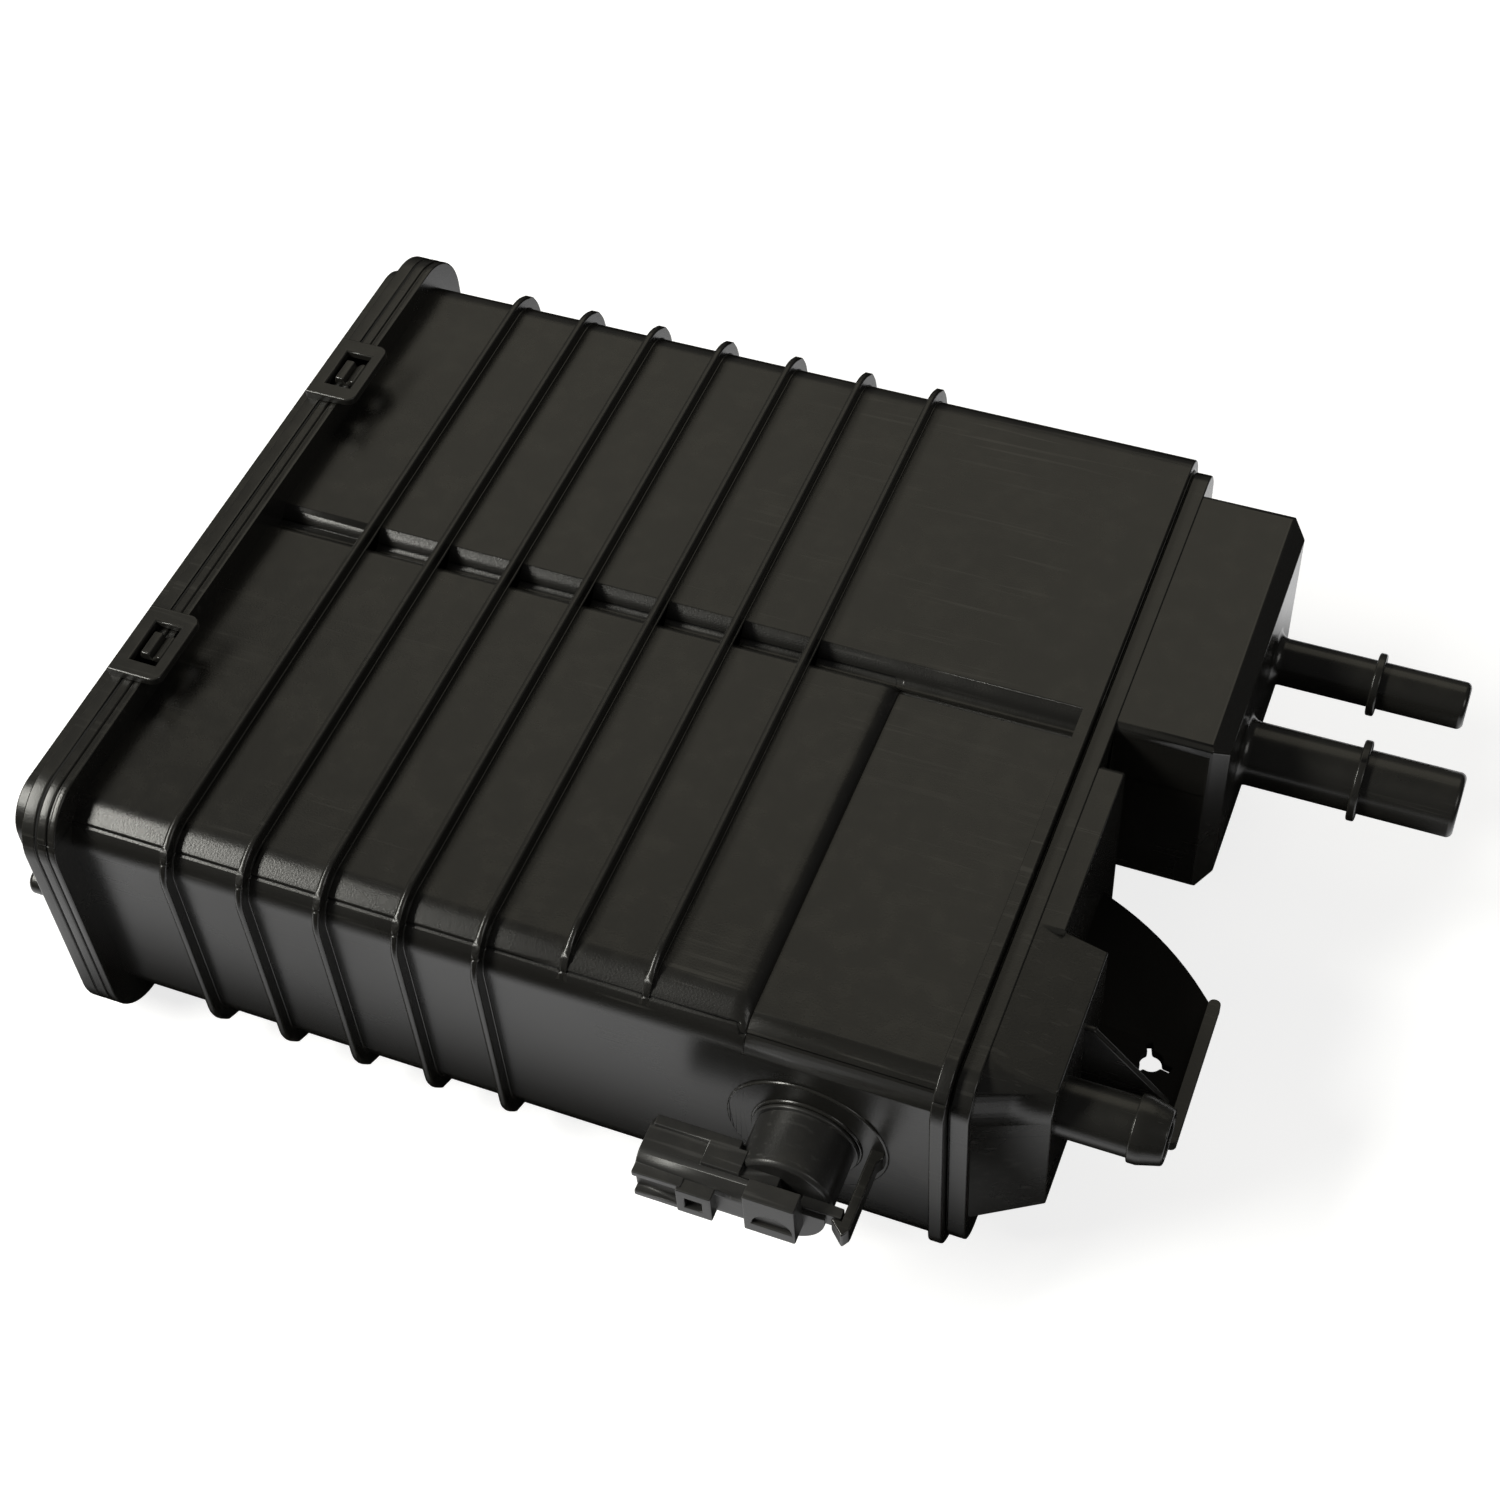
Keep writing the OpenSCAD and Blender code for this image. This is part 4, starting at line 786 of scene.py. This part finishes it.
    def _eased(self, y: float, z: float, drop: float) -> Optional[Tuple[float, float]]:
        """Where a point of the full-size near outline lies on an outline that is stepped down.

        Args:
            y: place across the body.
            z: height.
            drop: how far the outline is stepped down there.

        Returns:
            The new place and height, or None for a point that is not on the near top outline.
        """
        near_y, near_z, near_a = self._groove_edge(0.0)
        base_y, base_z = self.near_side + self.corner, self.top - self.corner
        off_corner = abs(math.hypot(y - base_y, z - base_z) - self.corner)
        off_groove = abs(math.hypot(y - near_y, z - near_z) - self.groove_r[0])
        if y < base_y and z > base_z and off_corner < self.on_arc:
            keep = 1 - drop / self.corner
            return self.near_side + (y - self.near_side) * keep, base_z + (z - base_z) * keep
        if base_y <= y <= near_y + self.on_end and abs(z - self.top) < self.on_panel:
            return y, z - drop
        if near_y < y < self.groove_floor[0] and off_groove < self.on_arc:
            new_y, new_z, new_a = self._groove_edge(drop)
            share = (math.pi / 2 - math.atan2(z - near_z, y - near_y)) / (math.pi / 2 - near_a)
            angle = math.pi / 2 - share * (math.pi / 2 - new_a)
            return new_y + self.groove_r[0] * math.cos(angle), new_z + self.groove_r[0] * math.sin(angle)
        return None

    def _groove_edge(self, drop: float) -> Tuple[float, float, float]:
        """Centre of the groove's near rounding and the angle at which it meets the floor.

        Args:
            drop: how far the near panel is stepped down.

        Returns:
            Place across the body, height and angle.
        """
        reach = sum(self.groove_r)
        height = self.top - drop - self.groove_r[0]
        across = self.groove_floor[0] - math.sqrt(reach ** 2 - (self.groove_floor[1] - height) ** 2)
        return across, height, math.atan2(self.groove_floor[1] - height, self.groove_floor[0] - across)


@dataclass
class PortCover(Moulding):
    """The port cover, whose bracket shelf gets a darker, nearly unreflecting copy of its nylon as painted shade.

    Attributes:
        shelf_shade_finish: finish of the shelf, a darker copy of the cover's nylon that paints shade on it.
        shelf_low: lowest corner of the shelf in housing millimetres.
        shelf_high: its highest corner.
    """

    shelf_shade_finish: Finish = PAINTED_SHADE_SHELF_NYLON
    shelf_low: Point = (226.0, -79.0, -3.2)
    shelf_high: Point = (262.0, -12.0, 0.1)

    def finishes(self) -> Tuple[Finish, ...]:
        """The cover's own finish, then the shelf's painted shade finish."""
        return (self.finish, self.shelf_shade_finish)

    def zone(self, face: bmesh.types.BMFace) -> int:
        """The shelf's painted shade finish for a face that lies wholly in the shelf."""
        points = [in_housing(v.co) for v in face.verts]
        spans = zip(self.shelf_low, self.shelf_high, zip(*points))
        return int(all(low <= min(values) and max(values) <= high for low, high, values in spans))


@dataclass
class Dressed:
    """CAD nodes that stay as they are and get a finish.

    Attributes:
        finishes: finish of each node.
    """

    finishes: Dict[str, Finish] = field(default_factory=dict)

    def dress(self, shop: FinishShop) -> None:
        """Put each finish on its node."""
        for node, finish in self.finishes.items():
            own_mesh(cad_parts[node].data, shop.material(finish))
            LOG.info("%s: %s", node, finish.name)


@dataclass
class ReturnSpring:
    """The valve's return spring, which shortens as the plunger moves; this copy keeps its CAD length.

    Attributes:
        node: CAD node name.
        body: body that holds its fixed end.
        slot: material slot of the record; not used.
        finish: its finish.
        joint: joint that shortens it; not used.
        stroke: travel of that joint in millimetres; not used.
        held_y: row-frame place of its fixed end, in metres; not used.
    """

    node: str = "return_spring"
    body: str = "canister"
    slot: str = "spring_steel"
    finish: Finish = SPRING_STEEL
    joint: str = "plunger_slide"
    stroke: float = 1.6
    held_y: float = -0.0805

    def build(self, shop: FinishShop) -> bpy.types.Object:
        """Make the copy that stands for the spring.

        Args:
            shop: gives the material.

        Returns:
            The new piece.
        """
        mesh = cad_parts[self.node].data.copy()
        mesh.name = self.node + "_wire"
        own_mesh(mesh, shop.material(self.finish))
        piece = bpy.data.objects.new(self.node + "_wire", mesh)
        bpy.context.scene.collection.objects.link(piece)
        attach(piece, self.body)
        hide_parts(self.node)
        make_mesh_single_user(piece)
        return piece


@dataclass(frozen=True)
class Lamp:
    """One soft rectangular lamp that faces the object.

    Attributes:
        name: lamp name.
        spot: its place in metres.
        size: its width and height in metres.
        power: watts.
        colour: linear colour of its light.
        along: direction its height runs in.
    """

    name: str
    spot: Point
    size: Span
    power: float
    colour: Colour
    along: Point = (0.0, 0.0, 1.0)


LAMPS: Tuple[Lamp, ...] = (
    Lamp("front_left", (-0.85, -0.515, 0.97), (0.28, 0.95), 17.5, (1.0, 0.99, 0.92), along=(0.0, 0.91, 0.41)),
    Lamp("back_above", (-0.14, 1.03, 1.09), (1.5, 0.92), 2.2, (1.0, 0.94, 0.76)),
    Lamp("right_side", (1.3, -0.3, 0.9), (0.6, 0.6), 2.6, (1.0, 0.99, 0.95)),
)


@dataclass
class Studio:
    """Floor, lamps, world and camera.

    Attributes:
        lens: focal length in millimetres.
        sensor: width of the camera's sensor in millimetres.
        clip: nearest and farthest distance that the camera sees, in metres.
        spot: camera place in metres, in the row frame.
        azimuth: degrees the camera stands to the right of the -Y side.
        elevation: degrees the camera looks down.
        roll: degrees the camera is turned about its view.
        floor_matte: share of the lamps' light that the floor scatters.
        floor_seen: light the floor adds where the camera sees it.
        floor_mirrored: light of the floor where a glossy face mirrors it, shaped by a painted shadow and a painted
            pool of light.
        footprint: span of the object on the floor along X and along Y, in metres.
        shade: distance from the footprint over which the painted shadow on the floor fades.
        painted_pool: distances from the footprint between which the painted pool of light on the floor fades away.
        floor_reach: half the floor's width in metres.
        ambient: strength of the world as light.
        aim: point that the lamps face.
        lamps: the lamps.
    """

    lens: float = 60.46
    sensor: float = 36.0
    clip: Span = (0.01, 50.0)
    spot: Point = (0.1562, -0.3518, 0.5237)
    azimuth: float = 24.77
    elevation: float = 50.65
    roll: float = 4.44
    floor_matte: float = 0.62
    floor_seen: float = 0.78
    floor_mirrored: float = 1.1
    footprint: Tuple[Span, Span] = ((-0.15, 0.15), (-0.098, 0.11))
    shade: float = 0.03
    painted_pool: Span = (0.05, 0.14)
    floor_reach: float = 12.0
    ambient: float = 0.07
    aim: Point = (0.0, 0.0, 0.05)
    lamps: Tuple[Lamp, ...] = LAMPS

    def camera(self) -> None:
        """Make the camera at the photo's viewing angle."""
        az, el, roll = (math.radians(v) for v in (self.azimuth, self.elevation, self.roll))
        forward = Vector((-math.sin(az) * math.cos(el), math.cos(az) * math.cos(el), -math.sin(el)))
        level = Vector((math.cos(az), math.sin(az), 0.0))
        upright = level.cross(forward)
        right = math.cos(roll) * level - math.sin(roll) * upright
        up = math.cos(roll) * upright + math.sin(roll) * level
        data = bpy.data.cameras.new("photo_camera")
        data.lens = self.lens
        data.sensor_width = self.sensor
        data.clip_start, data.clip_end = self.clip
        camera = bpy.data.objects.new("photo_camera", data)
        turn = Matrix((right, up, -forward)).transposed().to_4x4()
        camera.matrix_world = Matrix.Translation(Vector(self.spot)) @ turn
        bpy.context.scene.collection.objects.link(camera)
        bpy.context.scene.camera = camera

    def floor(self) -> None:
        """Make the pale floor, which shows white to the camera and keeps a soft shadow."""
        mesh = bpy.data.meshes.new("floor")
        reach = self.floor_reach
        corners = [(-reach, -reach, 0), (reach, -reach, 0), (reach, reach, 0), (-reach, reach, 0)]
        mesh.from_pydata(corners, [], [(0, 1, 2, 3)])
        floor = bpy.data.objects.new("floor", mesh)
        bpy.context.scene.collection.objects.link(floor)
        material = bpy.data.materials.new("pale_floor")
        material.use_nodes = True
        links = Links(material.node_tree)
        material.node_tree.nodes.clear()
        out = links.node("ShaderNodeOutputMaterial")
        diffuse = links.node("ShaderNodeBsdfDiffuse")
        glow = links.node("ShaderNodeEmission")
        glow.inputs["Color"].default_value = (1.0, 1.0, 1.0, 1.0)
        path = links.node("ShaderNodeLightPath")
        unmirrored = links.math("SUBTRACT", 1.0, path.outputs["Is Glossy Ray"])
        links.join(links.math("MULTIPLY", unmirrored, self.floor_matte), diffuse.inputs["Color"])
        seen = links.math("MAXIMUM", path.outputs["Is Camera Ray"], path.outputs["Is Transmission Ray"])
        # Where a glossy face mirrors the floor, the floor glows with a painted shadow and a painted pool of light.
        glossy = links.math("MULTIPLY", path.outputs["Is Glossy Ray"], self.floor_mirrored)
        mirrored = links.math("MULTIPLY", glossy, self._painted_floor_light(links))
        links.join(links.math("ADD", links.math("MULTIPLY", seen, self.floor_seen), mirrored),
                   glow.inputs["Strength"])
        both = links.node("ShaderNodeAddShader")
        links.join(diffuse.outputs[0], both.inputs[0])
        links.join(glow.outputs[0], both.inputs[1])
        links.join(both.outputs[0], out.inputs["Surface"])
        floor.data.materials.append(material)

    def _painted_floor_light(self, links: Links) -> bpy.types.NodeSocket:
        """Painted light of the floor in reflections: a painted shadow under the object, a painted pool of light
        around it, dark far away.

        Args:
            links: the floor material's link helper.

        Returns:
            A value socket from 0 to 1.
        """
        coords = links.node("ShaderNodeTexCoord")
        split = links.node("ShaderNodeSeparateXYZ")
        links.join(coords.outputs["Object"], split.inputs["Vector"])
        squares = []
        for axis, (low, high) in zip("XY", self.footprint):
            away = links.math("ABSOLUTE", links.math("SUBTRACT", split.outputs[axis], (low + high) / 2))
            outside = links.math("MAXIMUM", links.math("SUBTRACT", away, (high - low) / 2), 0.0)
            squares.append(links.math("MULTIPLY", outside, outside))
        distance = links.math("SQRT", links.math("ADD", squares[0], squares[1]))
        far = links.math("SUBTRACT", 1.0, links.ramp(distance, *self.painted_pool))
        return links.math("MULTIPLY", links.ramp(distance, 0.0, self.shade), far)

    def world(self) -> None:
        """Make the world: white to the camera, softer as light."""
        world = bpy.data.worlds.new("studio")
        bpy.context.scene.world = world
        world.use_nodes = True
        links = Links(world.node_tree)
        back = world.node_tree.nodes["Background"]
        back.inputs["Color"].default_value = (1.0, 1.0, 1.0, 1.0)
        path = links.node("ShaderNodeLightPath")
        light = links.math("MULTIPLY", links.math("SUBTRACT", 1.0, path.outputs["Is Camera Ray"]), self.ambient)
        links.join(links.math("ADD", path.outputs["Is Camera Ray"], light), back.inputs["Strength"])

    def light(self, lamp: Lamp) -> None:
        """Add a lamp, turned to face the object.

        Args:
            lamp: what it is and where it stands.
        """
        data = bpy.data.lights.new(lamp.name, "AREA")
        data.shape = "RECTANGLE"
        data.size, data.size_y = lamp.size
        data.energy = lamp.power
        data.color = lamp.colour
        made = bpy.data.objects.new(lamp.name, data)
        made.location = lamp.spot
        back = (Vector(lamp.spot) - Vector(self.aim)).normalized()
        across = Vector(lamp.along).cross(back).normalized()
        made.rotation_euler = Matrix((across, back.cross(across), back)).transposed().to_euler()
        bpy.context.scene.collection.objects.link(made)

    def build(self) -> None:
        """Set up the whole studio."""
        bpy.context.scene.view_settings.view_transform = "Standard"
        self.floor()
        self.world()
        for lamp in self.lamps:
            self.light(lamp)
        self.camera()


def main() -> None:
    """Build every piece, dress it and set up the studio."""
    logging.basicConfig(level=logging.INFO, format="%(name)s: %(message)s")
    shop = FinishShop()
    shells: List[Moulding] = [
        RibbedHousing("housing", "canister", "housing", HOUSING_NYLON),
        Moulding("end_cover", "canister", "end_cover", COVER_NYLON),
        PortCover("port_cover", "canister", "port_cover", PORT_NYLON),
        Moulding("valve_body", "canister", "valve_plastic", VALVE_NYLON, edge=0.3),
    ]
    for shell in shells:
        piece = shell.build(shop)
        LOG.info("%s: %d faces", piece.name, len(piece.data.polygons))
    inner = Dressed({
        "cover_gasket": GASKET_RUBBER, "near_bed": BED_CARBON, "far_bed": BED_CARBON,
        "near_rear_pad": PAD_FELT, "near_front_pad": PAD_FELT, "far_rear_pad": PAD_FELT, "far_front_pad": PAD_FELT,
        "near_press_plate": PLATE_NYLON, "far_press_plate": PLATE_NYLON, "near_grid": PLATE_NYLON,
        "far_grid": PLATE_NYLON, "near_springs": SPRING_STEEL, "far_springs": SPRING_STEEL,
        "valve_nose": NOSE_NYLON, "valve_ring": SEAL_RUBBER, "bobbin": NOSE_NYLON, "coil": COPPER_WIRE,
        "pole_core": SOFT_IRON, "yoke": SOFT_IRON, "plunger": SOFT_IRON, "valve_seal": SEAL_RUBBER,
        "terminals": BLADE_BRASS,
    })
    inner.dress(shop)
    ReturnSpring().build(shop)
    Studio().build()


if __name__ == "__main__":
    main()
